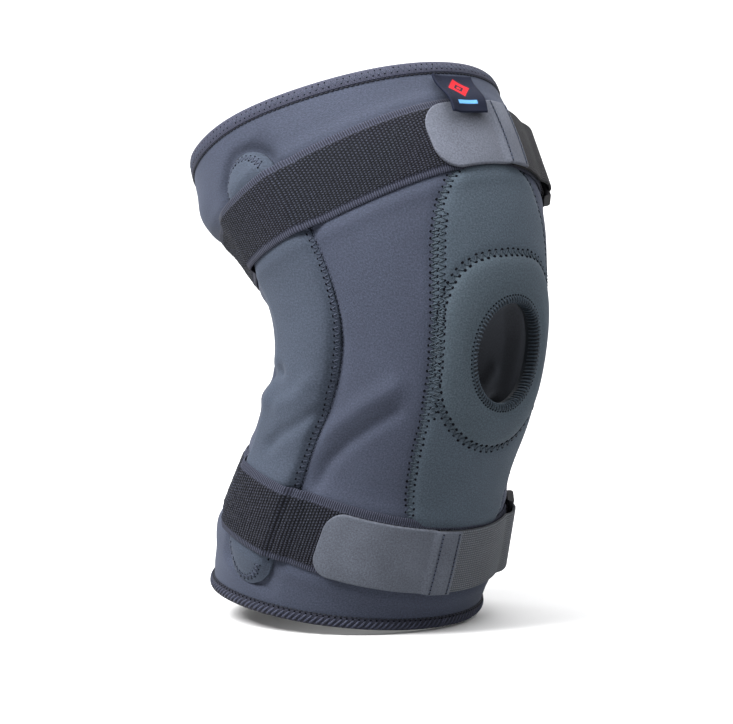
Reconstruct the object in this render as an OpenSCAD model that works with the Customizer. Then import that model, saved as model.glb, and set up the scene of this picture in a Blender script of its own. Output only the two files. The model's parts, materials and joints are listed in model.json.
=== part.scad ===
// Hinged knee brace: a neoprene sleeve with an open patella, worn at about 42 degrees of flexion.
// +Z is up, the kneecap faces -Y, and the wearer's outer (lateral) side is -X.
// The origin is the middle of the hinge axis, which runs along X through the centre of the knee.
// Every fabric surface is a sweep of ellipses along a bent centreline. A place on it is (s, f):
// s is the distance along the centreline, f the angle round the leg from the front towards -X.

/* [Leg] */
// Half the width of the knee across the sleeve
knee_half_width = 68.5; // [67.5:0.5:69.5]
// Half the depth of the knee, front to back
knee_half_depth = 75.5; // [74.5:0.5:76.5]
// Half the width of the thigh
thigh_half_width = 84.5; // [83.5:0.5:85.5]
// Half the depth of the thigh
thigh_half_depth = 86; // [85:0.5:87]
// Half the width of the calf
calf_half_width = 75; // [74:0.5:76]
// Half the depth of the calf
calf_half_depth = 75; // [74:0.5:76]
// How far the thigh leans back from upright, in degrees
thigh_lean = 41; // [40.5:0.5:41.5]
// How far the calf leans back from upright, in degrees
calf_lean = 22.5; // [22:0.5:23]

/* [Sleeve] */
// Thickness of the neoprene
neoprene = 4; // [3:0.25:4.5]
// Length of the sleeve above the hinge, along the centreline
upper_length = 128; // [124:1:134]
// Length of the sleeve below the hinge, along the centreline
lower_length = 154; // [150:1:158]
// How much lower the top rim is in front, in degrees of its plane
top_slant = 19; // [17:0.5:21]
// How much higher the bottom rim is in front, in degrees of its plane
bottom_slant = 15; // [13:0.5:17]
// Width of the edge tape
tape_width = 6; // [5:0.5:8]
// Thickness of the edge tape
tape = 0.8; // [0.5:0.1:1]
// Half the width of the patella opening, along the skin
hole_half_width = 18.5; // [16:0.5:20]
// Half the height of the patella opening, along the skin
hole_half_height = 24; // [21:0.5:26]
// Height of the padded ring round the opening
buttress_height = 3.2; // [2:0.2:4]

/* [Straps] */
// Width of both straps
strap_width = 36; // [32:1:38]
// Thickness of the elastic loop strap
strap = 1.7; // [1.5:0.1:2]
// Thickness of the hook tab
hook_tab = 1.5; // [1:0.1:1.8]
// Thickness of the keeper webbing
webbing = 1.2; // [0.8:0.1:1.2]
// Radius of the round bar that each strap turns on
bar_r = 1.3; // [1.2:0.1:1.5]

/* [Hinges] */
// Thickness of the aluminium arms
arm = 1.4; // [1.2:0.1:1.4]
// Width of the arms
arm_width = 14; // [12:0.5:14]
// Length of the upper arm from the hinge axis
upper_arm_length = 92; // [86:1:94]
// Length of the lower arm from the hinge axis
lower_arm_length = 128; // [120:1:129]
// How far each arm leans back from upright in the worn pose, in degrees
arm_lean = 21; // [20:0.5:22]
// Radius of the arms' round heads
head_r = 12.5; // [12.25:0.25:12.5]
// Thickness of the cover plates
cover = 0.6; // [0.5:0.1:0.6]
// Radius of the rivet
rivet_r = 2.5; // [2:0.25:2.75]
// Radius of the stop pin
stop_r = 1.5; // [1.25:0.25:1.5]

/* [Hidden] */
$fn = 64;
gap = 0.3;          // between layers and between panels
bend_s = 24;        // the bend's middle along the centreline
bend_w = 57;        // half the bend's length
knots = [-170, -110, -60, 0, 55, 110, 165];
wide = [calf_half_width - 3, calf_half_width, knee_half_width - 0.5, knee_half_width,
  (knee_half_width + thigh_half_width) / 2 + 1.5, thigh_half_width, thigh_half_width - 2.5];
deep = [calf_half_depth - 3, calf_half_depth, knee_half_depth - 4.5, knee_half_depth,
  (knee_half_depth + thigh_half_depth) / 2 + 2, thigh_half_depth, thigh_half_depth - 4];

// ---- the leg's surface ----
kap = (thigh_lean + calf_lean) * PI / 180 / (2 * bend_w);
function slope(v, i) = i == 0 ? (v[1] - v[0]) / (knots[1] - knots[0])
  : i == len(v) - 1 ? (v[i] - v[i - 1]) / (knots[i] - knots[i - 1])
  : (v[i + 1] - v[i - 1]) / (knots[i + 1] - knots[i - 1]);
function spot(s, i = 0) = i >= len(knots) - 2 || s < knots[i + 1] ? i : spot(s, i + 1);
function smooth_at(v, s) = let (i = spot(s), h = knots[i + 1] - knots[i], t = (s - knots[i]) / h)
  (1 + 2 * t) * pow(1 - t, 2) * v[i] + t * pow(1 - t, 2) * h * slope(v, i)
  + t * t * (3 - 2 * t) * v[i + 1] + t * t * (t - 1) * h * slope(v, i + 1);
function lean(s) = -calf_lean + (thigh_lean + calf_lean)
  * (min(max(s, bend_s - bend_w), bend_s + bend_w) - bend_s + bend_w) / (2 * bend_w);
function mid(s) = let (c = min(max(s, bend_s - bend_w), bend_s + bend_w), t = lean(s), t0 = lean(0), e = s - c)
  [(cos(t0) - cos(t)) / kap + e * sin(t), (sin(t) - sin(t0)) / kap + e * cos(t)];
// the point at (s, f), a distance off the surface
function at(s, f, off) = let (m = mid(s), t = lean(s), e = (smooth_at(deep, s) + off) * cos(f))
  [-(smooth_at(wide, s) + off) * sin(f), m[0] - cos(t) * e, m[1] + sin(t) * e];
// distance along the skin at angle f, counted from s = 0, and back again
function fac(f) = 1 + kap * 78 * cos(f);
s_hi = bend_s + bend_w;
s_lo = bend_s - bend_w;
function t_of(s, f) = s >= s_hi ? s_hi * fac(f) + s - s_hi : s >= s_lo ? s * fac(f) : s_lo * fac(f) + s - s_lo;
function s_of(t, f) = t >= s_hi * fac(f) ? s_hi + t - s_hi * fac(f) : t >= s_lo * fac(f) ? t / fac(f) : s_lo + t - s_lo * fac(f);
function rim_top(f) = upper_length - tan(top_slant) * 85 * cos(f);
function rim_bottom(f) = -(lower_length - tan(bottom_slant) * 73 * cos(f));
function ease(x) = x <= 0 ? 0 : x >= 1 ? 1 : x * x * (3 - 2 * x);
function fold(f) = let (g = ((f % 360) + 540) % 360 - 180) abs(g);   // angle from the front, either side

// ---- where the thigh part ends and the calf part begins ----
function thigh_end(f) = let (g = fold(f)) lookup(g, [[0, 50], [35, 50], [60, 46], [90, 42], [120, 47], [150, 58], [180, 68]]);
function calf_end(f) = let (g = fold(f)) lookup(g, [[0, -71], [35, -71], [60, -68], [90, -64], [120, -70], [150, -80], [180, -86]]);

// ---- the hinge pockets and the hollow that the arms press into the sleeve ----
function arm_f(s) = lookup(s, [[-140, 92], [-60, 93], [0, 91], [40, 97], [60, 96], [100, 92]]);
function hollow(s, f) = let (g = fold(f), d = abs(g - arm_f(s)))
  lookup(s, [[-139.5, 0], [-135.5, 2.2], [-120, 2.4], [-90, 2.2], [-60, 1.2], [-30, 1.4], [-15, 2.4], [0, 3.8], [13, 5.4], [30, 3.8], [50, 2.6], [96, 2.4], [108, 0]])
  * ease((22 - d) / 10);
function pocket_front(s) = lookup(s, [[-60, 78], [-30, 76.5], [-12, 75.5], [12, 75.5], [30, 76.5], [60, 78]]);
function pocket_back(s) = lookup(s, [[-140, 103], [-130, 105], [-81, 114], [-49, 124], [0, 128], [25, 123], [53, 114], [90, 105], [103, 104]]);
function pocket_top(f) = let (g = fold(f), u = (g - 91) / 14) 88 + 15 * sqrt(max(0, 1 - u * u));
function pocket_bottom(f) = let (g = fold(f), u = (g - 91) / 14) -127 - 12 * sqrt(max(0, 1 - u * u));
function lining(s, f) = let (g = fold(f), d = abs(g - arm_f(s)))
  gap + lookup(s, [[-141, 0], [-131, 2.2], [-100, 2.6], [-80, 3.8], [-60, 4.4], [-45, 5.2], [-15, 5.4], [0, 4.6], [14, 3.4], [28, 2.6], [50, 2.4], [92, 2.2], [103, 0]])
  * ease((24 - d) / 10) * ease((g - pocket_front(s) + 0.6) / 4);
pouch = 2.2;        // the pocket fabric
// how high a strap has to ride over the pocket
function ride_h(s, f) = let (g = fold(f)) gap + (lining(s, g) + pouch + 0.3) * ease((g - 70) / 7) * ease((121 - g) / 9);

// ---- strap paths ----
function upper_s(f) = 74.75 - 15 * cos(f) + 5.25 * cos(2 * f);
function lower_s(f) = -99.75 + 7.5 * cos(f) - 0.75 * cos(2 * f);
function strap_s(up, f) = up ? upper_s(f) : lower_s(f);
// s of a place k half-widths across the strap
function across(up, f, half, k) = s_of(t_of(strap_s(up, f), f) + k * half, f);
bar_f = -46;        // the angle of the bars that the straps turn on
bar_off = gap + strap + 0.2 + bar_r;
rear_f = -54;

// ---- solids from grids of points ----
function flat(l) = [for (a = l) for (b = a) b];
// O and I are the outer and inner faces as [i][j], i along +f and j upwards
module shell(O, I, wrap = false) {
  n = len(O); m = len(O[0]); N = n * m; ni = wrap ? n : n - 1;
  polyhedron(concat(flat(O), flat(I)), concat(
    [for (i = [0:ni - 1], j = [0:m - 2]) let (a = i * m + j, b = ((i + 1) % n) * m + j) each [[a, b, b + 1], [a, b + 1, a + 1]]],
    [for (i = [0:ni - 1], j = [0:m - 2]) let (a = N + i * m + j, b = N + ((i + 1) % n) * m + j) each [[a, b + 1, b], [a, a + 1, b + 1]]],
    [for (i = [0:ni - 1]) let (a = i * m, b = ((i + 1) % n) * m) each [[a, N + a, N + b], [a, N + b, b]]],
    [for (i = [0:ni - 1]) let (a = i * m + m - 1, b = ((i + 1) % n) * m + m - 1) each [[a, b, N + b], [a, N + b, N + a]]],
    wrap ? [] : [for (j = [0:m - 2]) each [[j, j + 1, N + j + 1], [j, N + j + 1, N + j]]],
    wrap ? [] : [for (j = [0:m - 2]) let (b = (n - 1) * m + j) each [[b, N + b, N + b + 1], [b, N + b + 1, b + 1]]]));
}
// a closed band: rows go round the leg or the opening, each row is a closed outline
module band(P) {
  n = len(P); m = len(P[0]);
  polyhedron(flat(P), [for (i = [0:n - 1], j = [0:m - 1])
    let (a = i * m + j, b = ((i + 1) % n) * m + j, c = ((i + 1) % n) * m + (j + 1) % m, d = i * m + (j + 1) % m)
    each [[a, b, c], [a, c, d]]]);
}
module opposite(flip) { if (flip) mirror([1, 0, 0]) children(); else children(); }

// ---- sleeve ----
module tube(n, m, low, high) {
  fs = [for (i = [0:n - 1]) i * 360 / n];
  function row(o, sink) = [for (f = fs) [for (j = [0:m]) let (s = low[0] == 0 ? thigh_end(f) + (rim_top(f) - tape - gap - thigh_end(f)) * j / m
    : rim_bottom(f) + tape + gap + (calf_end(f) - rim_bottom(f) - tape - gap) * j / m) at(s, f, o - sink * hollow(s, f))]];
  shell(row(0, 1), row(-neoprene, 1), true);
}
module thigh_sleeve() { color("#585c70") tube(60, 8, [0], 0); }
module calf_sleeve() { color("#50546a") tube(60, 8, [1], 0); }

// a panel between two angles, from the calf part up to the thigh part
module panel(f0, f1, n, m) {
  fs = [for (i = [0:n]) f0 + (f1 - f0) * i / n];
  function row(o) = [for (f = fs) [for (j = [0:m]) let (a = calf_end(f) + 2 * gap / fac(f), b = thigh_end(f) - 2 * gap / fac(f), s = a + (b - a) * j / m)
    at(s, f, o - hollow(s, f))]];
  shell(row(0), row(-neoprene));
}
module lateral_side_panel() { color("#565a6e") panel(36.3, 127.7, 18, 14); }
module medial_side_panel() { color("#565a6e") opposite(true) panel(36.3, 127.7, 18, 14); }
module popliteal_panel() { color("#4c5062") panel(128, 232, 20, 10); }

// places round the opening: u from 0 at the opening to 1 at the panel's edge
function ring_at(b, rf, rt, n, off) = let (c = cos(b), d = sin(b), p = pow(pow(abs(c), n) + pow(abs(d), n), -1 / n),
    f = rf * d * p, t = rt * c * p) at(s_of(t, f), f, off);
hole_f = hole_half_width / 1.195;
module front_panel() {
  bs = [for (i = [0:47]) i * 7.5];
  // u runs from the opening to the outer edge, which is straight in s at the top and the bottom
  function spot_at(b, u, o) = let (c = cos(b), d = sin(b), n = 2 + 8 * u, p = pow(pow(abs(c), n) + pow(abs(d), n), -1 / n),
    rt = hole_half_height + 0.6, f = ((hole_f + 0.5) * (1 - u) + 35.5 * u) * d * p,
    s0 = s_of(rt * c * p, f), s1 = (c > 0 ? 49.4 : 70.4) * c * p) at(s0 * (1 - u) + s1 * u, f, o);
  function row(o) = [for (b = bs) [for (k = [0:6]) spot_at(b, ease(k / 6) * 0.4 + k / 6 * 0.6, o)]];
  color("#545e6a") shell(row(0), row(-neoprene), true);
}
module patella_buttress() {
  bs = [for (i = [0:47]) i * 7.5];
  function line(b, u, o) = ring_at(b, (hole_f + 0.5) * (1 - u) + 33.5 * u, (hole_half_height + 0.6) * (1 - u) + 51 * u, 2 + 0.8 * u, o);
  function crown(u) = gap + 0.5 + (buttress_height - 0.5) * pow(max(0, sin(180 * (0.12 + 0.83 * u))), 0.6);
  color("#4a525e") shell([for (b = bs) [for (k = [0:6]) line(b, k / 6, crown(k / 6))]],
    [for (b = bs) [for (k = [0:6]) line(b, k / 6, gap)]], true);
}
module patella_edge_binding() {
  color("#2c2e34") band([for (i = [0:47]) let (b = i * 7.5) [for (q = [
      [0, -neoprene - 0.9], [-1.1, -neoprene - 0.3], [-1.1, 3.4], [0, 4.1], [3.4, 4.1], [3.4, 3.7], [0.3, 3.5], [0.3, -neoprene - 0.3], [3.4, -neoprene - 0.4], [3.4, -neoprene - 0.9]])
    ring_at(b, hole_f + 0.1 + (q[0] - 0.2) / 1.25, hole_half_height + q[0], 2, q[1])]]);
}

// ---- edge tapes ----
module top_binding() {
  w = tape_width; g = gap / 2;
  color("#2a2c33") band([for (i = [0:59]) let (f = i * 6) [for (q = [[g + tape, -w], [g + tape, -1], [g + 0.2, -0.15], [-1, 0], [-neoprene + 1, 0],
      [-neoprene - g - 0.2, -0.15], [-neoprene - g - tape, -1], [-neoprene - g - tape, -w], [-neoprene - g, -w], [-neoprene - g, -tape - g], [g, -tape - g], [g, -w]])
    let (s = rim_top(f) + q[1]) at(s, f, q[0] - hollow(s, f))]]);
}
module bottom_binding() {
  w = tape_width; g = gap / 2;
  color("#2a2c33") band([for (i = [0:59]) let (f = i * 6) [for (q = [[g + tape, 1], [g + tape, w], [g, w], [g, tape + g], [-neoprene - g, tape + g], [-neoprene - g, w],
      [-neoprene - g - tape, w], [-neoprene - g - tape, 1], [-neoprene - g - 0.2, 0.15], [-neoprene + 1, 0], [-1, 0], [g + 0.2, 0.15]])
    let (s = rim_bottom(f) + q[1]) at(s, f, q[0] - hollow(s, f))]]);
}

// ---- pockets ----
module pocket(part) {
  n = 12; m = part == 1 ? 14 : 8;
  function low(f, g) = part == 0 ? thigh_end(f) + 0.3 : part == 1 ? calf_end(f) + 0.3 : pocket_bottom(f);
  function high(f, g) = part == 0 ? pocket_top(f) : part == 1 ? thigh_end(f) - 0.3 : calf_end(f) - 0.3;
  // f runs from the front seam to the back seam, which moves with s
  function row(o) = [for (i = [0:n]) [for (j = [0:m]) let (w = i / n,
      fe = 78 + 26 * w, s0 = low(fe), s1 = high(fe), s = s0 + (s1 - s0) * j / m, f = pocket_front(s) + (pocket_back(s) - pocket_front(s)) * w,
      s0b = part == 2 ? s0 : low(f), s1b = part == 0 ? s1 : high(f), sb = s0b + (s1b - s0b) * j / m)
      at(sb, f, lining(sb, f) + o)]];
  shell(row(pouch), row(0));
}
module lateral_pocket_upper() { color("#4e5866") pocket(0); }
module lateral_pocket_knee() { color("#4e5866") pocket(1); }
module lateral_pocket_lower() { color("#4e5866") pocket(2); }
module medial_pocket_upper() { color("#4e5866") opposite(true) pocket(0); }
module medial_pocket_knee() { color("#4e5866") opposite(true) pocket(1); }
module medial_pocket_lower() { color("#4e5866") opposite(true) pocket(2); }

// ---- straps ----
module strap_body(up) {
  n = 66; m = 5; h = strap_width / 2;
  f0 = bar_f + 1.5; f1 = 263;
  function row(o) = [for (i = [0:n]) let (f = f0 + (f1 - f0) * i / n) [for (j = [0:m]) let (s = across(up, f, h, -1 + 2 * j / m)) at(s, f, ride_h(s, f) + o)]];
  shell(row(strap), row(0));
}
module upper_strap() { color("#26272c") strap_body(true); }
module lower_strap() { color("#26272c") strap_body(false); }
// the tail's cross-section: [angle, off inner, angle, off outer], from round the bar to the tab
per = 180 / PI / 81;       // degrees for a millimetre round the leg near the bars
function around(c_f, r, a) = [c_f - r * sin(a) * per, bar_off + r * cos(a)];
function tail_path(last) = concat(
  [for (k = [0:7]) let (a = 98 - 14 * k, p = around(bar_f, bar_r + 0.2, a), q = around(bar_f, bar_r + 0.2 + strap, a)) [p[0], p[1], q[0], q[1]]],
  [for (k = [1:10]) let (f = bar_f + (last - bar_f) * k / 10, d = gap + strap + gap, h = (bar_off + bar_r + 0.2 - d) * ease(1 - (f - bar_f) / 13)) [f, d + h, f, d + h + strap - 0.2 * ease((f - bar_f) / 8)]]);
module tail(up, last) {
  m = 4; h = strap_width / 2 - 0.3; p = tail_path(last);
  shell([for (q = p) [for (j = [0:m]) by_bar(up, bar_f, q[2], q[3], h, -1 + 2 * j / m)]],
    [for (q = p) [for (j = [0:m]) by_bar(up, bar_f, q[0], q[1], h, -1 + 2 * j / m)]]);
}
module upper_strap_tail() { color("#303238") tail(true, -9); }
module lower_strap_tail() { color("#303238") tail(false, 14); }
module tab(up, f0, f1) {
  n = 22; m = 8; h = strap_width / 2 - 0.2;
  base = gap + strap + gap;
  function lift(f) = base + (strap + gap - 0.2) * ease((f0 + 13.5 - f) / 4);
  function half(f) = let (e = (f1 - f) * 1.4) h - (e < 9 ? 9 - sqrt(max(0, 81 - pow(9 - e, 2))) : 0);
  function row(o) = [for (i = [0:n]) let (w = i / n, f = f0 + (f1 - f0) * (w < 0.7 ? w / 0.7 * 0.8 : 0.8 + 0.2 * sin((w - 0.7) / 0.3 * 90)))
    [for (j = [0:m]) let (s = across(up, f, max(half(f), 2), -1 + 2 * j / m)) at(s, f, lift(f) + o)]];
  shell(row(hook_tab), row(0));
}
module upper_hook_tab() { color("#7d8088") tab(true, -17, 24); }
module lower_hook_tab() { color("#63666e") tab(false, 4, 61); }

gapx = 11;          // from a ring's front bar to its rear bar
// a place k half-widths across the webbing that turns on the bar at angle f0: straight along the bar beside it, and on the leg's curve further off
function by_bar(up, f0, f, off, h, k) = let (d = bar_dir(up), r = rear_dir(up), n = cross(r, d), o = bar_mid(up, bar_f) + (f0 == bar_f ? 0 : gapx) * r,
    x = (f0 - f) / per, w = ease((abs(f - f0) - 3.5) / 10))
  (o + x * r + (off - bar_off) * n + k * h * d) * (1 - w) + at(across(up, f, h, k), f, off) * w;
// the frame of a ring: its bar's middle and the directions along the bar, round the leg and outwards
function unit(v) = v / norm(v);
function bar_mid(up, f) = at(strap_s(up, f), f, bar_off);
function bar_dir(up) = let (s = strap_s(up, bar_f)) unit(at(s + 5, bar_f, bar_off) - at(s - 5, bar_f, bar_off));
function rear_dir(up) = let (d = bar_dir(up), v = bar_mid(up, rear_f) - bar_mid(up, bar_f)) unit(v - (v * d) * d);
module in_ring(up) {
  d = bar_dir(up); r = rear_dir(up); n = cross(r, d); o = bar_mid(up, bar_f);
  multmatrix([[r[0], n[0], d[0], o[0]], [r[1], n[1], d[1], o[1]], [r[2], n[2], d[2], o[2]], [0, 0, 0, 1]]) children();
}
module ring(up) {
  len = strap_width + 1.8;
  color("#1d1e21") in_ring(up) {
    translate([0, 0, -len / 2]) cylinder(r = bar_r, h = len, $fn = 48);
    translate([gapx, 0, -len / 2]) cylinder(r = bar_r, h = len, $fn = 48);
    for (z = [-1, 1]) translate([0, 0, z * (len / 2 + 0.7) - 1.1])
      linear_extrude(2.2) hull() { circle(r = 1.8, $fn = 32); translate([gapx, 0]) circle(r = 1.8, $fn = 32); }
  }
}
module upper_strap_ring() { ring(true); }
module lower_strap_ring() { ring(false); }
// the keeper: a loop of webbing round the ring's rear bar, both ends sewn down
module keeper(up) {
  m = 4; h = strap_width / 2 - 1; end = -75; base = gap;
  in0 = bar_r + 0.25;
  low = [for (k = [0:8]) let (f = end + (rear_f - end) * k / 8, e = ease((f - rear_f + 14) / 14) * (bar_off - in0 - webbing - base)) [f, base + e + webbing, f, base + e]];
  bend = [for (k = [1:9]) let (a = 180 + 18 * k, p = [rear_f - in0 * sin(a) * per, bar_off + in0 * cos(a)], q = [rear_f - (in0 + webbing) * sin(a) * per, bar_off + (in0 + webbing) * cos(a)]) [p[0], p[1], q[0], q[1]]];
  high = [for (k = [0:8]) let (f = rear_f + (end - rear_f) * k / 8, b2 = base + webbing + gap, e = ease((f - rear_f + 14) / 14) * (bar_off + in0 - b2)) [f, b2 + e, f, b2 + e + webbing]];
  p = concat(low, bend, high);
  r = [for (i = [len(p) - 1:-1:0]) p[i]];
  shell([for (q = r) [for (j = [0:m]) by_bar(up, rear_f, q[2], q[3], h, -1 + 2 * j / m)]],
    [for (q = r) [for (j = [0:m]) by_bar(up, rear_f, q[0], q[1], h, -1 + 2 * j / m)]]);
}
module upper_ring_keeper() { color("#222327") keeper(true); }
module lower_ring_keeper() { color("#222327") keeper(false); }
module patch(up) {
  n = 8; m = 5; h = strap_width / 2 + 1;
  function row(o) = [for (i = [0:n]) let (f = -102 + 25 * i / n) [for (j = [0:m]) let (s = across(up, f, h, -1 + 2 * j / m)) at(s, f, ride_h(s, f) + strap + gap + o + 0.6 * ease((f + 92) / 8))]];
  shell(row(1.2), row(0));
}
module upper_anchor_patch() { color("#2e3036") patch(true); }
module lower_anchor_patch() { color("#2e3036") patch(false); }

// ---- hinges: everything is drawn for one side and mirrored for the other ----
x0 = knee_half_width - 2.3;                 // inner face of the inner cover
x_up = x0 + cover + 0.1;                    // inner face of the upper arm
x_wash = x_up + arm + 0.05;
x_low = x_wash + 0.35;                      // inner face of the lower arm
x_out = x_low + arm + 0.1;                  // inner face of the outer cover
x_end = x_out + cover;
pin_at = 9;                              // the stop pin's distance from the axis
// a plate across X, its outline given as (y, z)
module plate(x, t) { translate([x, 0, 0]) rotate([90, 0, 90]) linear_extrude(t) children(); }
// a bent bar: its side profile is (r, x) along the arm
module bent_arm(lean_to, len, prof) {
  rotate([lean_to, 0, 0]) intersection() {
    translate([0, arm_width / 2, 0]) rotate([90, 0, 0]) linear_extrude(arm_width)
      polygon(concat([for (q = prof) [q[1], q[0]]], [for (i = [len(prof) - 1:-1:0]) [prof[i][1] + arm, prof[i][0]]]));
    translate([x0 - 10, 0, 0]) rotate([90, 0, 90]) linear_extrude(60) union() {
      translate([-arm_width / 2, 0]) square([arm_width, abs(len) - arm_width / 2]);
      translate([0, abs(len) - arm_width / 2]) circle(r = arm_width / 2, $fn = 48);
    }
  }
}
module side_upper_arm() {
  difference() {
    union() {
      plate(x_up, arm) circle(r = head_r);
      bent_arm(-arm_lean, upper_arm_length, [[0, x_up], [16, x_up], [50, x_up + 8.5], [upper_arm_length + 1, x_up + 8.5 + (upper_arm_length - 49) * 0.145]]);
    }
    plate(x_up - 1, arm + 2) circle(r = rivet_r + 0.05);
    rotate([-arm_lean, 0, 0]) plate(x_up - 1, arm + 2) translate([0, pin_at]) circle(r = stop_r + 0.05, $fn = 32);
  }
}
module side_lower_arm() {
  difference() {
    union() {
      plate(x_low, arm) circle(r = head_r);
      mirror([0, 0, 1]) bent_arm(-arm_lean, lower_arm_length, [[0, x_low], [58, x_low], [100, x_low + 4], [lower_arm_length + 1, x_low + 4.4]]);
    }
    plate(x_low - 1, arm + 2) circle(r = rivet_r + 0.05);
    // the slot that the stop pin runs in, as the lower arm swings
    plate(x_low - 1, arm + 2) difference() {
      circle(r = pin_at + stop_r + 0.15);
      circle(r = pin_at - stop_r - 0.15);
      slot_keep();
    }
  }
}
// the part of the head outside the slot, as a wedge in (y, z)
pin_a = 90 - arm_lean;                      // the pin's direction in (y, z)
slot_a0 = pin_a - 43 - 10;
slot_a1 = pin_a + 42 + 10;
module slot_keep() { polygon(concat([[0, 0]], [for (k = [0:10]) let (a = slot_a1 + (360 - slot_a1 + slot_a0) * k / 10) 40 * [cos(a), sin(a)]])); }
module side_cover(x) { difference() { plate(x, cover) circle(r = head_r + 0.8);
  plate(x - 1, cover + 2) circle(r = rivet_r + 0.05);
  rotate([-arm_lean, 0, 0]) plate(x - 1, cover + 2) translate([0, pin_at]) circle(r = stop_r + 0.05, $fn = 32); } }
module side_rivet() {
  plate(x0 - 0.6, x_end - x0 + 1.2) circle(r = rivet_r);
  plate(x0 - 0.6, 0.55) circle(r = rivet_r + 1.8);
  plate(x_end + 0.05, 0.6) circle(r = rivet_r + 1.8);
}
module side_washer() { difference() { plate(x_wash, 0.25) circle(r = 6); plate(x_wash - 1, 3) circle(r = rivet_r + 0.05); } }
module side_pin() { rotate([-arm_lean, 0, 0]) plate(x0, x_end - x0) translate([0, pin_at]) circle(r = stop_r, $fn = 32); }
module lateral_upper_arm() { color("#b9bcc0") opposite(true) side_upper_arm(); }
module medial_upper_arm() { color("#b9bcc0") side_upper_arm(); }
module lateral_lower_arm() { color("#b9bcc0") opposite(true) side_lower_arm(); }
module medial_lower_arm() { color("#b9bcc0") side_lower_arm(); }
module lateral_inner_cover() { color("#8f9398") opposite(true) side_cover(x0); }
module medial_inner_cover() { color("#8f9398") side_cover(x0); }
module lateral_outer_cover() { color("#8f9398") opposite(true) side_cover(x_out); }
module medial_outer_cover() { color("#8f9398") side_cover(x_out); }
module lateral_rivet() { color("#c8cacc") opposite(true) side_rivet(); }
module medial_rivet() { color("#c8cacc") side_rivet(); }
module lateral_washer() { color("#e6e6e2") opposite(true) side_washer(); }
module medial_washer() { color("#e6e6e2") side_washer(); }
module lateral_stop_pin() { color("#c8cacc") opposite(true) side_pin(); }
module medial_stop_pin() { color("#c8cacc") side_pin(); }

// ---- label: a folded woven tag that hangs from the top tape ----
label_w = 27;
label_l = 27;
label_f = 1.5;
module side_label() {
  s1 = rim_top(label_f) - tape_width - 1;
  p = at(s1, label_f, 1.6);
  color("#17181b") translate(p) rotate([-(lean(s1) + 11), 0, 0]) union() {
    translate([-label_w / 2, -0.6, -label_l]) linear_extrude(label_l) offset(r = 0.4, $fn = 16) translate([0.4, 0.4]) square([label_w - 0.8, 0.4]);
    translate([-label_w / 2, 0, 0]) rotate([0, 90, 0]) cylinder(r = 0.7, h = label_w, $fn = 32);
  }
}

thigh_sleeve();
top_binding();
upper_strap();
upper_strap_ring();
upper_ring_keeper();
upper_anchor_patch();
lateral_pocket_upper();
medial_pocket_upper();
lateral_upper_arm();
medial_upper_arm();
lateral_inner_cover();
lateral_outer_cover();
medial_inner_cover();
medial_outer_cover();
lateral_rivet();
medial_rivet();
lateral_washer();
medial_washer();
lateral_stop_pin();
medial_stop_pin();
calf_sleeve();
bottom_binding();
lower_strap();
lower_strap_ring();
lower_ring_keeper();
lower_anchor_patch();
lateral_pocket_lower();
medial_pocket_lower();
lateral_lower_arm();
medial_lower_arm();
front_panel();
patella_buttress();
patella_edge_binding();
lateral_side_panel();
medial_side_panel();
popliteal_panel();
lateral_pocket_knee();
medial_pocket_knee();
upper_strap_tail();
upper_hook_tab();
lower_strap_tail();
lower_hook_tab();
side_label();
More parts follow.
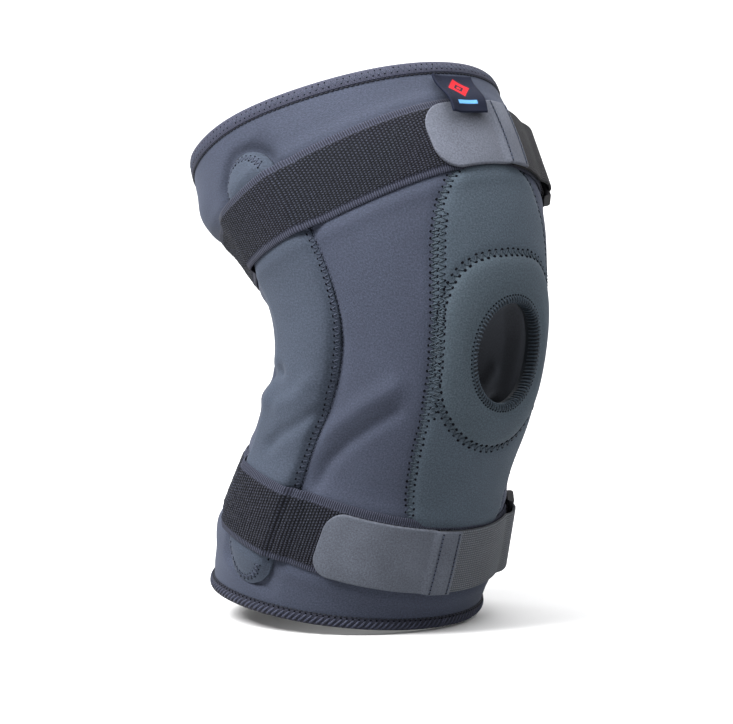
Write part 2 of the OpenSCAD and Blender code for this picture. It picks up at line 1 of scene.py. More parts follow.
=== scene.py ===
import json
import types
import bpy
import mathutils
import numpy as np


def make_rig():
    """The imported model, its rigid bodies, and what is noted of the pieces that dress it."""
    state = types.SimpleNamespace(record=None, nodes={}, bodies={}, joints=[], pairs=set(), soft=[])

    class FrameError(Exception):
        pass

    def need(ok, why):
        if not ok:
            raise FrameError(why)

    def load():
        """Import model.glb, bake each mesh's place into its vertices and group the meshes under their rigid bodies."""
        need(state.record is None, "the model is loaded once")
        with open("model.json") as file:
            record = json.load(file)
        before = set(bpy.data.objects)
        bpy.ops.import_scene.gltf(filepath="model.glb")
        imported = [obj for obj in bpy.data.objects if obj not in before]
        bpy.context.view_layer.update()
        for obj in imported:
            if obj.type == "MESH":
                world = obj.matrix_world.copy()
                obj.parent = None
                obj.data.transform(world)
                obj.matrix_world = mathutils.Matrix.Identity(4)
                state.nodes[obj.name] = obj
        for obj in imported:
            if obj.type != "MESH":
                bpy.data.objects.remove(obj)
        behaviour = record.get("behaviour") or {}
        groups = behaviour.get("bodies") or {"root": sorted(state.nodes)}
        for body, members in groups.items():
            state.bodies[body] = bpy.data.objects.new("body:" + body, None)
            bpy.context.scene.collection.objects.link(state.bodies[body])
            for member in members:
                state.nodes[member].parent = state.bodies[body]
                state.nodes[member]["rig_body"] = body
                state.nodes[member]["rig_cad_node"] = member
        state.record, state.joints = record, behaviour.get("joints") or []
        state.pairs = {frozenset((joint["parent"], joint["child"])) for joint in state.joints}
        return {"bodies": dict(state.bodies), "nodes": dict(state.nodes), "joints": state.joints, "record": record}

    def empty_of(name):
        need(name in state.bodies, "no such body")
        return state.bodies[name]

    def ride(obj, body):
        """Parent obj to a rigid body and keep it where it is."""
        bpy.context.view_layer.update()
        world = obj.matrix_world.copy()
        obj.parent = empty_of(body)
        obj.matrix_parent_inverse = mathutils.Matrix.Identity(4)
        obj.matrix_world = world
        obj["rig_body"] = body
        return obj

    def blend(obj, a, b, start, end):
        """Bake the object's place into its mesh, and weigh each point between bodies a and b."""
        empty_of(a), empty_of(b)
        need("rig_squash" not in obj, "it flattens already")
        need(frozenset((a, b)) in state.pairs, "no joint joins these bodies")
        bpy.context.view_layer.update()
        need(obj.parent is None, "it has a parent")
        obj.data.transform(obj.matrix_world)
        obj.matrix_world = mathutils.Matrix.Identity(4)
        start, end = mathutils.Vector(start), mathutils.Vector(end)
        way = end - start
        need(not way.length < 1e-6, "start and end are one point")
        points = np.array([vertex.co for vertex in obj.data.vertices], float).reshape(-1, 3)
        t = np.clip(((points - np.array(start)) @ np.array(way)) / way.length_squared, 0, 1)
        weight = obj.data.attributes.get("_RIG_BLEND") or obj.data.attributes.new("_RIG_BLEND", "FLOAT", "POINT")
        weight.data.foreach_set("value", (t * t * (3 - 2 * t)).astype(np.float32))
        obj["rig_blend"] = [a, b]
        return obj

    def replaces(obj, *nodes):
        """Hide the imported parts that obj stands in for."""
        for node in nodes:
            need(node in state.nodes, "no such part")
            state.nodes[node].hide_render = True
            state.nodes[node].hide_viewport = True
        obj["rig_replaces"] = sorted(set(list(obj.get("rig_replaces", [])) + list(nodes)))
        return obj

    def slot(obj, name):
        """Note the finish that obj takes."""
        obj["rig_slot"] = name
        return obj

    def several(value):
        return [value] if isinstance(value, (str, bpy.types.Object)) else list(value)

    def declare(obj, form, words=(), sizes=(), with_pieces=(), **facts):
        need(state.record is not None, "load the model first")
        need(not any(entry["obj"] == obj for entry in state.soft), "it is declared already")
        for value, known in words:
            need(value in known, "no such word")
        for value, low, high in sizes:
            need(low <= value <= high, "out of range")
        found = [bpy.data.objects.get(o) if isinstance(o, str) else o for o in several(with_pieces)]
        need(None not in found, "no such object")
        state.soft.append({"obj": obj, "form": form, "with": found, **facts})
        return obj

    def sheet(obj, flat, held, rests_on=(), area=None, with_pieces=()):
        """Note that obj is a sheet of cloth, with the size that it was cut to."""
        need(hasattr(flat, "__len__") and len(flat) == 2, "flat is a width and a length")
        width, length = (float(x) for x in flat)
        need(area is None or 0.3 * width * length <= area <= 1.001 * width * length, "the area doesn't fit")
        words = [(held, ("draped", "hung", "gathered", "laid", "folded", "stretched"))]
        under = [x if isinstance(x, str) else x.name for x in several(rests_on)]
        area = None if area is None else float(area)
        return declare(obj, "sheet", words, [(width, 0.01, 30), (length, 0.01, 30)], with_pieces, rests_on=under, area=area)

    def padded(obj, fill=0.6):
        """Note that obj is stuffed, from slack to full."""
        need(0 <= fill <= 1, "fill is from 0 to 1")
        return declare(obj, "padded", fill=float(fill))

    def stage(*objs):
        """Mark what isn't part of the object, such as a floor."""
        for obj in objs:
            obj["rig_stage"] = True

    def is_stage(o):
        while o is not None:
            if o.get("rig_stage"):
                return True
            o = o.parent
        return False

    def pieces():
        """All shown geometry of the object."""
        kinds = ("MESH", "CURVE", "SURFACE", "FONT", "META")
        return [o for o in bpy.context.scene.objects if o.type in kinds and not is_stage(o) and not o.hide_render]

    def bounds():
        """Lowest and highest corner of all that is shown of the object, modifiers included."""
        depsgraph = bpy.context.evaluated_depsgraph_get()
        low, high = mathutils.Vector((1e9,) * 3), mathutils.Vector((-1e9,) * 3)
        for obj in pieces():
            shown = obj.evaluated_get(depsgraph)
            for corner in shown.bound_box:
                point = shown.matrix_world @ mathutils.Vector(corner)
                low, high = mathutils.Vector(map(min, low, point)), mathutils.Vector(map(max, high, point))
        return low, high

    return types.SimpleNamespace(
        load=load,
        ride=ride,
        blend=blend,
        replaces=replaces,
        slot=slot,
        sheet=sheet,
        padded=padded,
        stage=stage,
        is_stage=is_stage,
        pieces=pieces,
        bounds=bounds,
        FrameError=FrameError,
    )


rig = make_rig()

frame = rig.load()

import json
import math
import bpy
import numpy as np
from mathutils import Matrix, Vector

CAD_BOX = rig.bounds()
D = np.radians
THIGH_BODY, SHANK_BODY = "thigh_section", "shank_section"

# ------------------------------------------------------------------ the leg's surface, in mm and degrees
THIGH, CALF, BS, BW = 41.0, 22.5, 24.0, 57.0
KNOTS = np.array([-170, -110, -60, 0, 55, 110, 165], float)
WIDE = np.array([72, 75, 68, 68.5, 78, 84.5, 82])
DEEP = np.array([72, 75, 71, 75.5, 82.75, 86, 82])
KAP = D(THIGH + CALF) / (2 * BW)
GAP, STRAP, TAPE, TAPE_W, NEO = 0.3, 1.7, 0.8, 6.0, 4.0
HOLE_T = 24.9
HOLE_F = 18.5 / 1.195 + 0.9
HOLE_C = -0.9


def herm(x, y):
    x = np.asarray(x, float)
    m = np.zeros(len(y))
    m[1:-1] = (y[2:] - y[:-2]) / (KNOTS[2:] - KNOTS[:-2])
    m[0] = (y[1] - y[0]) / (KNOTS[1] - KNOTS[0])
    m[-1] = (y[-1] - y[-2]) / (KNOTS[-1] - KNOTS[-2])
    i = np.clip(np.searchsorted(KNOTS, x) - 1, 0, len(KNOTS) - 2)
    h = KNOTS[i + 1] - KNOTS[i]
    t = (x - KNOTS[i]) / h
    return (1 + 2 * t) * (1 - t) ** 2 * y[i] + t * (1 - t) ** 2 * h * m[i] + t * t * (3 - 2 * t) * y[i + 1] + t * t * (t - 1) * h * m[i + 1]


def lean(s):
    return -CALF + (THIGH + CALF) * (np.clip(s, BS - BW, BS + BW) - BS + BW) / (2 * BW)


def mid(s):
    c = np.clip(s, BS - BW, BS + BW)
    t, t0, e = D(lean(s)), D(lean(0.0)), s - c
    return (np.cos(t0) - np.cos(t)) / KAP + e * np.sin(t), (np.sin(t) - np.sin(t0)) / KAP + e * np.cos(t)


def at(s, f, o=0.0):
    """the point at s along the centreline and angle f, o mm off the surface, in mm"""
    s, f, o = np.broadcast_arrays(np.asarray(s, float), np.asarray(f, float), np.asarray(o, float))
    y, z = mid(s)
    t = D(lean(s))
    e = (herm(s, DEEP) + o) * np.cos(D(f))
    return np.stack([-(herm(s, WIDE) + o) * np.sin(D(f)), y - np.cos(t) * e, z + np.sin(t) * e], -1)


S_HI, S_LO = BS + BW, BS - BW


def fac(f):
    return 1 + KAP * 78 * np.cos(D(f))


def t_of(s, f):
    k = fac(f)
    return np.where(s >= S_HI, S_HI * k + s - S_HI, np.where(s >= S_LO, s * k, S_LO * k + s - S_LO))


def s_of(t, f):
    k = fac(f)
    return np.where(t >= S_HI * k, S_HI + t - S_HI * k, np.where(t >= S_LO * k, t / k, S_LO + t - S_LO * k))


def look(x, pts):
    a = np.array(pts, float)
    return np.interp(x, a[:, 0], a[:, 1])


def ease(x):
    x = np.clip(x, 0, 1)
    return x * x * (3 - 2 * x)


def fold(f):
    return np.abs(np.mod(np.asarray(f, float) + 180, 360) - 180)


def rim_top(f):
    return 128 - math.tan(math.radians(19)) * 85 * np.cos(D(f))


def rim_shown(f):
    """the top edge rises a little at the sides"""
    return rim_top(f) + 2.3 * np.exp(-((fold(f) - 86) / 26) ** 2)


def rim_bottom(f):
    return -(154 - math.tan(math.radians(15)) * 73 * np.cos(D(f)))


def arm_f(s):
    return look(s, [[-140, 92], [-60, 93], [0, 91], [40, 97], [60, 96], [100, 92]])


def hollow(s, f):
    d = np.abs(fold(f) - arm_f(s))
    return look(s, [[-139.5, 0], [-135.5, 2.2], [-120, 2.4], [-90, 2.2], [-60, 1.2], [-30, 1.4], [-15, 2.4], [0, 3.8], [13, 5.4], [30, 3.8], [50, 2.6], [96, 2.4], [108, 0]]) * ease((22 - d) / 10)


def pocket_front(s):
    return look(s, [[-60, 78], [-30, 76.5], [-12, 75.5], [12, 75.5], [30, 76.5], [60, 78]])


def pocket_back(s):
    return look(s, [[-140, 103], [-130, 105], [-81, 114], [-49, 124], [0, 128], [25, 123], [53, 114], [90, 105], [103, 104]])


def lining(s, f):
    g = fold(f)
    d = np.abs(g - arm_f(s))
    return GAP + look(s, [[-141, 0], [-131, 2.2], [-100, 2.6], [-80, 3.8], [-60, 4.4], [-45, 5.2], [-15, 5.4], [0, 4.6], [14, 3.4], [28, 2.6], [50, 2.4], [92, 2.2], [103, 0]]) * ease((24 - d) / 10) * ease((g - pocket_front(s) + 0.6) / 4)


POUCH = 2.2


def ride_h(s, f):
    g = fold(f)
    return GAP + (lining(s, g) + POUCH + 0.3) * ease((g - 70) / 7) * ease((121 - g) / 9)


def strap_s(up, f):
    c, c2 = np.cos(D(f)), np.cos(D(2 * np.asarray(f, float)))
    return 74.75 - 15 * c + 5.25 * c2 if up else -99.75 + 7.5 * c - 0.75 * c2


def across(up, f, half, k):
    return s_of(t_of(strap_s(up, f), f) + k * half, f)


def press(s, f):
    """the straps squeeze the flesh at the back, and it bulges beside them, mm outwards"""
    g = fold(f)
    t = t_of(s, f)
    back = ease((g - 108) / 26)
    du, dl = t - t_of(strap_s(True, f), f), t - t_of(strap_s(False, f), f)
    h = -3.2 * np.exp(-(np.abs(du + 2) / 19) ** 2.4) + 4.6 * np.exp(-((du - 33) / 12.5) ** 2) - 2.4 * ease((du - 50) / 14)
    h = h - 2.0 * np.exp(-(np.abs(dl - 8) / 22) ** 2.4) + 2.4 * np.exp(-((dl + 29) / 9.5) ** 2) - 1.6 * ease((-dl - 46) / 12)
    return back * h


# how far a place turns with the shank: 0 on the thigh, 1 on the shank, about a half round the kneecap
def turn(s, f):
    g = fold(f)
    t = t_of(s, f)
    tu = t_of(strap_s(True, f), f) - 18 - 2.0
    tl = np.maximum(t_of(strap_s(False, f), f) + 18 + 5.0, look(g, [[0, -200], [52, -150], [76, -56], [124, -56], [150, -100], [180, -200]]))
    x = np.clip((tu - t) / (tu - tl), 0, 1)
    side = 0.75 * ease(x) + 0.25 * x
    ta, tb = 44.0, -47.0
    front = np.where(t > ta, 0.5 * ease((tu - t) / np.maximum(tu - ta, 1)), np.where(t < tb, 0.5 + 0.5 * ease((tb - t) / np.maximum(tb - tl, 1)), 0.5))
    p = ease((70 - g) / 30)
    return p * front + (1 - p) * side


# soft unevenness of the neoprene, mm outwards
def crease(s, f, a, b, depth, width):
    t = t_of(s, f)
    x, y = np.asarray(f, float) * 1.36, t
    ax, ay = a[1] * 1.36, float(t_of(a[0], a[1]))
    bx, by = b[1] * 1.36, float(t_of(b[0], b[1]))
    q = np.clip(((x - ax) * (bx - ax) + (y - ay) * (by - ay)) / ((bx - ax) ** 2 + (by - ay) ** 2), 0, 1)
    d = np.hypot(x - ax - q * (bx - ax), y - ay - q * (by - ay))
    return depth * np.exp(-(d / width) ** 2)


def wave(s, f, pts, depth, width):
    """a ridge or a hollow along a bent line of (s, f) points"""
    t = t_of(s, f)
    x = np.asarray(f, float) * 1.36
    P = [(b * 1.36, float(t_of(a, b))) for a, b in pts]
    d2 = 1e9
    for (ax, ay), (bx, by) in zip(P[:-1], P[1:]):
        q = np.clip(((x - ax) * (bx - ax) + (t - ay) * (by - ay)) / ((bx - ax) ** 2 + (by - ay) ** 2), 0, 1)
        d2 = np.minimum(d2, (x - ax - q * (bx - ax)) ** 2 + (t - ay - q * (by - ay)) ** 2)
    return depth * np.exp(-d2 / width ** 2)


def soft(s, f):
    g = fold(f)
    f2 = np.mod(np.asarray(f, float) + 180, 360) - 180
    t = t_of(s, f)
    free = ease((50 - s) / 20) * ease((s + 74) / 14)
    h = free * (0.35 * np.sin(t / 17 + 1.3 * np.sin(D(f) * 2)) * np.sin(D(f) * 3 + 0.6) + 0.2 * np.sin(t / 9.0 + np.sin(D(f) * 5)))
    for side in (1, -1):
        g2 = f2 * side
        h = h + wave(s, g2, [(-43, 136), (-37, 124), (-29, 110), (-22, 102)], -3.0, 4.2) + wave(s, g2, [(-54, 132), (-49, 120), (-42, 106)], 1.9, 5.5)
        h = h + wave(s, g2, [(-66, 79), (-46, 75), (-36, 71), (-23, 62), (-14, 51)], 1.9, 6.0) + wave(s, g2, [(-70, 71), (-56, 69), (-41, 63), (-30, 56), (-22, 48)], -1.9, 4.4)
        h = h + wave(s, g2, [(-62, 97), (-52, 92), (-44, 86), (-33, 80)], -2.3, 4.2) + wave(s, g2, [(-39, 97), (-30, 89), (-20, 85)], 1.5, 5.0)
    # folds behind the knee
    back = ease((g - 128) / 26) * ease((20 - t) / 14) * ease((t + 52) / 14)
    h = h + back * (1.25 * np.sin((t + 4 * np.cos(D(f) * 1.0)) / 2.1 + 0.8) * np.exp(-((t + 6) / 19) ** 2))
    # a strap presses the fabric up beside its edges
    for up in (True, False):
        d = np.abs(t - t_of(strap_s(up, f), f)) - 18
        h = h + 0.75 * np.exp(-((d - 5.5) / 4.2) ** 2) * (d > -2) - 0.1 * ease(-d / 4)
    return h + press(s, f)


# ------------------------------------------------------------------ mesh making
def new_obj(name, verts_mm, faces, mats, mat_idx=None, uv=None, smooth=True):
    """uv is one (u, v) for each corner of each face, in mm"""
    me = bpy.data.meshes.new(name)
    me.from_pydata((np.asarray(verts_mm) * 0.001).tolist(), [], [list(map(int, x)) for x in faces])
    for m in mats:
        me.materials.append(m)
    if mat_idx is not None:
        me.polygons.foreach_set("material_index", np.asarray(mat_idx, np.int32))
    if uv is not None:
        lay = me.uv_layers.new(name="UVMap")
        lay.data.foreach_set("uv", np.asarray(uv, np.float32).ravel())
    if smooth:
        me.shade_smooth()
    me.update()
    ob = bpy.data.objects.new(name, me)
    bpy.context.scene.collection.objects.link(ob)
    return ob


def quads(n, m, wrap_n=False, wrap_m=False):
    i = np.arange(n if wrap_n else n - 1)
    j = np.arange(m if wrap_m else m - 1)
    I, J = np.meshgrid(i, j, indexing="ij")
    I2, J2 = (I + 1) % n, (J + 1) % m
    q = np.stack([I * m + J, I2 * m + J, I2 * m + J2, I * m + J2], -1).reshape(-1, 4)
    cu = np.stack([I, I + 1, I + 1, I], -1).reshape(-1, 4)
    cv = np.stack([J, J, J + 1, J + 1], -1).reshape(-1, 4)
    return q, cu, cv


def outward(P, faces, ref, k):
    """flips the faces if face k doesn't face along ref"""
    a, b, c = (P[faces[k][x]] for x in (0, 1, 2))
    return faces if np.dot(np.cross(b - a, c - a), ref) > 0 else [f[::-1] for f in faces]


def shell(name, O, I, mats, uvs, wrap=False, keep=None, inner_mat=1, edge_mat=0):
    """a thick sheet from its outer and inner faces, both (n, m, 3); uvs is (n or n + 1, m, 2) in mm; keep says which outer quads stay"""
    n, m = O.shape[:2]
    V = np.concatenate([O.reshape(-1, 3), I.reshape(-1, 3)])
    N = n * m
    q, cu, cv = quads(n, m, wrap)
    uq = uvs[cu, cv] if uvs.shape[0] > n or not wrap else uvs[cu % n, cv]
    flip = 1
    k = len(q) // 2 + m // 2
    a, b, c = O.reshape(-1, 3)[q[k][0]], O.reshape(-1, 3)[q[k][1]], O.reshape(-1, 3)[q[k][2]]
    ref = O.reshape(-1, 3)[q[k][0]] - I.reshape(-1, 3)[q[k][0]]
    if np.dot(np.cross(b - a, c - a), ref) < 0:
        flip = -1
    if keep is None:
        keep = np.ones(len(q), bool)
    F, U, M = [q[keep][:, ::flip]], [uq[keep][:, ::flip]], [np.zeros(keep.sum(), int)]
    F.append((q[keep] + N)[:, ::-flip]); U.append(uq[keep][:, ::-flip]); M.append(np.full(keep.sum(), inner_mat))
    ii = np.arange(n if wrap else n - 1)
    i2 = (ii + 1) % n
    for j, sg in ((0, 1), (m - 1, -1)):
        w = np.stack([i2 * m + j, ii * m + j, N + ii * m + j, N + i2 * m + j], -1)[:, ::sg * flip]
        cw = np.stack([ii + 1, ii, ii, ii + 1], -1)[:, ::sg * flip]
        uw = uvs[np.minimum(cw, uvs.shape[0] - 1), j]
        F.append(w); U.append(uw); M.append(np.full(len(w), edge_mat))
    if not wrap:
        jj = np.arange(m - 1)
        for i, sg in ((0, 1), (n - 1, -1)):
            w = np.stack([i * m + jj, i * m + jj + 1, N + i * m + jj + 1, N + i * m + jj], -1)[:, ::sg * flip]
            cw = np.stack([jj, jj + 1, jj + 1, jj], -1)[:, ::sg * flip]
            F.append(w); U.append(uvs[i, cw]); M.append(np.full(len(w), edge_mat))
    F, U, M = np.concatenate(F), np.concatenate(U), np.concatenate(M)
    if len(mats) == 1:
        M[:] = 0
    ob = new_obj(name, V, F, mats, M, U.reshape(-1, 2))
    return ob


def hoop(name, P, mats, uvs, wrap_n=True, midx=None):
    """a band with a closed cross-section: P is (n, m, 3), m round the section"""
    n, m = P.shape[:2]
    q, cu, cv = quads(n, m, wrap_n, True)
    uq = uvs[cu, cv]
    V = P.reshape(-1, 3)
    c = P.mean(1)
    k = len(q) // 2
    a, b, d = V[q[k][0]], V[q[k][1]], V[q[k][2]]
    ref = V[q[k][0]] - c[q[k][0] // m]
    flip = 1 if np.dot(np.cross(b - a, d - a), ref) > 0 else -1
    F = list(q[:, ::flip])
    U = list(uq[:, ::flip].reshape(-1, 2))
    M = [0] * len(F) if midx is None else list(midx[cv[:, 0] % m])
    if not wrap_n:
        for i, sg in ((0, -1), (n - 1, 1)):
            F.append(list((np.arange(m) + i * m)[::-sg * flip]))
            U += list(uvs[i, :m][::-sg * flip])
            M.append(0)
    return new_obj(name, V, F, mats, M, np.array(U))


def put(ob, weights=None, body=None, nodes=(), slot=None):
    """rides or bends, replaces nodes and names the slot"""
    if weights is not None:
        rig.blend(ob, THIGH_BODY, SHANK_BODY, start=(0, 0, 0.05), end=(0, 0, -0.05))
        w = np.clip(np.asarray(weights, np.float32).ravel(), 0, 1)
        assert len(w) == len(ob.data.vertices), (ob.name, len(w), len(ob.data.vertices))
        ob.data.attributes["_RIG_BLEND"].data.foreach_set("value", w)
    else:
        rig.ride(ob, body)
    if nodes:
        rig.replaces(ob, *nodes)
    if slot:
        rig.slot(ob, slot)
    return ob


def frames(s, f, o):
    """points and unit axes round the leg, along it, and outwards"""
    P = at(s, f, o)
    a = at(s, f + 0.4, o) - at(s, f - 0.4, o)
    b = at(s + 0.5, f, o) - at(s - 0.5, f, o)
    a /= np.linalg.norm(a, axis=-1, keepdims=True)
    n = np.cross(a, b)
    n /= np.linalg.norm(n, axis=-1, keepdims=True)
    out = at(s, f, o + 1) - P
    n *= np.sign((n * out).sum(-1, keepdims=True))
    b = np.cross(n, a)
    b *= np.sign((b * (at(s + 0.5, f, o) - P)).sum(-1, keepdims=True))
    return P, a, b, n


def resample(s, f, step, closed=False, off=0.0):
    """places every step mm along a line of (s, f)"""
    s, f = np.asarray(s, float), np.asarray(f, float)
    if closed:
        s, f = np.append(s, s[0]), np.append(f, f[0] + 360 * np.round((f[-1] - f[0]) / 360))
    k = np.linspace(0, len(s) - 1, (len(s) - 1) * 12 + 1)
    s2, f2 = np.interp(k, np.arange(len(s)), s), np.interp(k, np.arange(len(f)), f)
    P = at(s2, f2, off)
    L = np.concatenate([[0], np.cumsum(np.linalg.norm(np.diff(P, axis=0), axis=1))])
    n = max(2, int(round(L[-1] / step)))
    if closed:
        n += n % 2
        q = np.arange(n) * L[-1] / n
    else:
        q = np.linspace(0, L[-1], n + 1)
    return np.interp(q, L, s2), np.interp(q, L, f2)


class Threads:
    """many short threads in one mesh"""

    def __init__(self):
        self.v, self.f, self.uv, self.w, self.n = [], [], [], [], 0

    def add(self, C, N, rad, w, sides=6, flat=1.0):
        """C (K, L, 3) centre lines, N (K, L, 3) outward axes, rad (L,) radii, w (K,) or (K, L) turns"""
        K, L = C.shape[:2]
        T = np.gradient(C, axis=1)
        T /= np.maximum(np.linalg.norm(T, axis=-1, keepdims=True), 1e-9)
        B = np.cross(T, N)
        B /= np.maximum(np.linalg.norm(B, axis=-1, keepdims=True), 1e-9)
        N = np.cross(B, T)
        a = np.arange(sides) * 2 * math.pi / sides
        r = np.asarray(rad, float).reshape(1, L, 1, 1)
        V = C[:, :, None] + r * (np.cos(a)[None, None, :, None] * B[:, :, None] + flat * np.sin(a)[None, None, :, None] * N[:, :, None])
        base = self.n + (np.arange(K) * L * sides)[:, None, None]
        l, j = np.meshgrid(np.arange(L - 1), np.arange(sides), indexing="ij")
        l, j = l.ravel()[None, :], j.ravel()[None, :]
        j2 = (j + 1) % sides
        b0 = base[:, 0]
        q = np.stack([b0 + l * sides + j, b0 + l * sides + j2, b0 + (l + 1) * sides + j2, b0 + (l + 1) * sides + j], -1).reshape(-1, 4)
        c0 = np.stack([b0[:, 0] + x for x in (0, 3, 2, 1)], -1) if sides >= 4 else None
        caps = []
        if sides == 6:
            e = (L - 1) * sides
            for o, seq in ((0, (3, 2, 1, 0)), (0, (5, 4, 3, 0)), (e, (0, 1, 2, 3)), (e, (0, 3, 4, 5))):
                caps.append(np.stack([b0[:, 0] + o + x for x in seq], -1))
        q = np.concatenate([q] + caps) if caps else q
        self.v.append(V.reshape(-1, 3))
        self.f.append(q[:, ::-1])
        w = np.broadcast_to(np.asarray(w, float).reshape(K, -1), (K, L))
        self.w.append(np.repeat(w.ravel(), sides))
        self.n += K * L * sides

    def make(self, name, mat):
        V, F = np.concatenate(self.v), np.concatenate(self.f)
        uv = V[F][..., [0, 2]].reshape(-1, 2)
        ob = new_obj(name, V, F, [mat], None, uv)
        return ob, np.concatenate(self.w)


def needle_dots(T, P, A, N, w, r=0.7):
    """painted shade of needle holes: small near-black low domes stand in for the shadow inside each hole"""
    C = P[:, None] + A[:, None] * (np.array([-0.92, 0.0, 0.92])[None, :, None] * r)
    T.add(C - N[:, None] * 0.02, np.broadcast_to(N[:, None], C.shape), [0.4 * r, r, 0.4 * r], w, flat=0.34)


def moved(s, f, da, db):
    """the place da mm round the leg and db mm up from (s, f)"""
    la = np.linalg.norm(at(s, f + 0.4) - at(s, f - 0.4), axis=-1) / 0.8
    lb = np.linalg.norm(at(s + 0.5, f) - at(s - 0.5, f), axis=-1)
    return s + db / lb, f + da / la


def zigzag(T, H, s, f, pitch, width, height, rad=0.32, closed=False, phase=0, skew=0.0, lift=0.3, hole=0.7, jitter=0.1, seed=1, body_w=None, straight=False):
    """a zigzag of threads along a line; height(s, f) is the cloth's height. H takes the needle holes, near-black domes
    of painted shade
    """
    rg = np.random.default_rng(seed)
    s1, f1 = resample(s, f, pitch / 2, closed)
    n = len(s1)
    P, A, B, N = frames(s1, f1, 0.0)
    nxt, prv = np.roll(P, -1, 0), np.roll(P, 1, 0)
    if not closed:
        nxt[-1], prv[0] = P[-1], P[0]
    tan = nxt - prv
    tan /= np.linalg.norm(tan, axis=1, keepdims=True)
    cr = np.cross(N, tan)
    side = np.where((np.arange(n) + phase) % 2 == 0, 1.0, -1.0)
    v = cr * (side * width / 2 + rg.normal(0, jitter, n))[:, None] + tan * ((skew * side) + rg.normal(0, jitter, n))[:, None]
    sq, fq = moved(s1, f1, (v * A).sum(1), (v * B).sum(1))
    k0 = np.arange(n if closed else n - 1)
    k1 = (k0 + 1) % n
    if straight:
        k0, k1 = k0[::2], k1[::2]
    u = np.linspace(0, 1, 6)
    wrap = 360 * np.round((fq[k0] - fq[k1]) / 360)
    Sc = sq[k0][:, None] * (1 - u) + sq[k1][:, None] * u
    Fc = fq[k0][:, None] * (1 - u) + (fq[k1] + wrap)[:, None] * u
    arch = (np.sin(np.pi * u) ** 0.6) * lift - 0.18
    C, _, _, nn = frames(Sc, Fc, height(Sc, Fc) + arch[None])
    w = turn(Sc[:, 2], Fc[:, 2]) if body_w is None else np.full(len(k0), body_w)
    T.add(C, nn, rad * np.array([0.5, 0.9, 1, 1, 0.9, 0.5]), w)
    if H is not None and hole:
        Q, A2, _, N2 = frames(sq, fq, height(sq, fq))
        needle_dots(H, Q + rg.normal(0, 0.05, Q.shape), A2, N2, turn(sq, fq) if body_w is None else np.full(n, body_w), hole)


def dashes(T, s, f, pitch, height, rad=0.3, duty=0.7, closed=False, lift=0.3, w=None):
    """a run of straight stitches"""
    s1, f1 = resample(s, f, pitch, closed)
    n = len(s1)
    k0 = np.arange(n if closed else n - 1)
    k1 = (k0 + 1) % n
    u = np.linspace(0.5 - duty / 2, 0.5 + duty / 2, 5)
    wrap = 360 * np.round((f1[k0] - f1[k1]) / 360)
    Sc = s1[k0][:, None] * (1 - u) + s1[k1][:, None] * u
    Fc = f1[k0][:, None] * (1 - u) + (f1[k1] + wrap)[:, None] * u
    C, _, _, N = frames(Sc, Fc, height(Sc, Fc) + ((np.sin(np.linspace(0, np.pi, 5)) ** 0.7) * lift - 0.12)[None])
    T.add(C, N, rad * np.array([0.5, 1, 1, 1, 0.5]), turn(Sc[:, 2], Fc[:, 2]) if w is None else np.full(len(k0), w))


def edge_dist(x, y, px, py):
    """distance to a closed outline, positive inside it"""
    d2, odd = np.full(np.shape(x), 1e9), np.zeros(np.shape(x), bool)
    for a in range(len(px)):
        b = (a + 1) % len(px)
        ex, ey = px[b] - px[a], py[b] - py[a]
        q = np.clip(((x - px[a]) * ex + (y - py[a]) * ey) / (ex * ex + ey * ey + 1e-9), 0, 1)
        d2 = np.minimum(d2, (x - px[a] - q * ex) ** 2 + (y - py[a] - q * ey) ** 2)
        odd ^= ((py[a] > y) != (py[b] > y)) & (x < (px[b] - px[a]) * (y - py[a]) / (py[b] - py[a] + 1e-12) + px[a])
    return np.sqrt(d2) * np.where(odd, 1, -1)


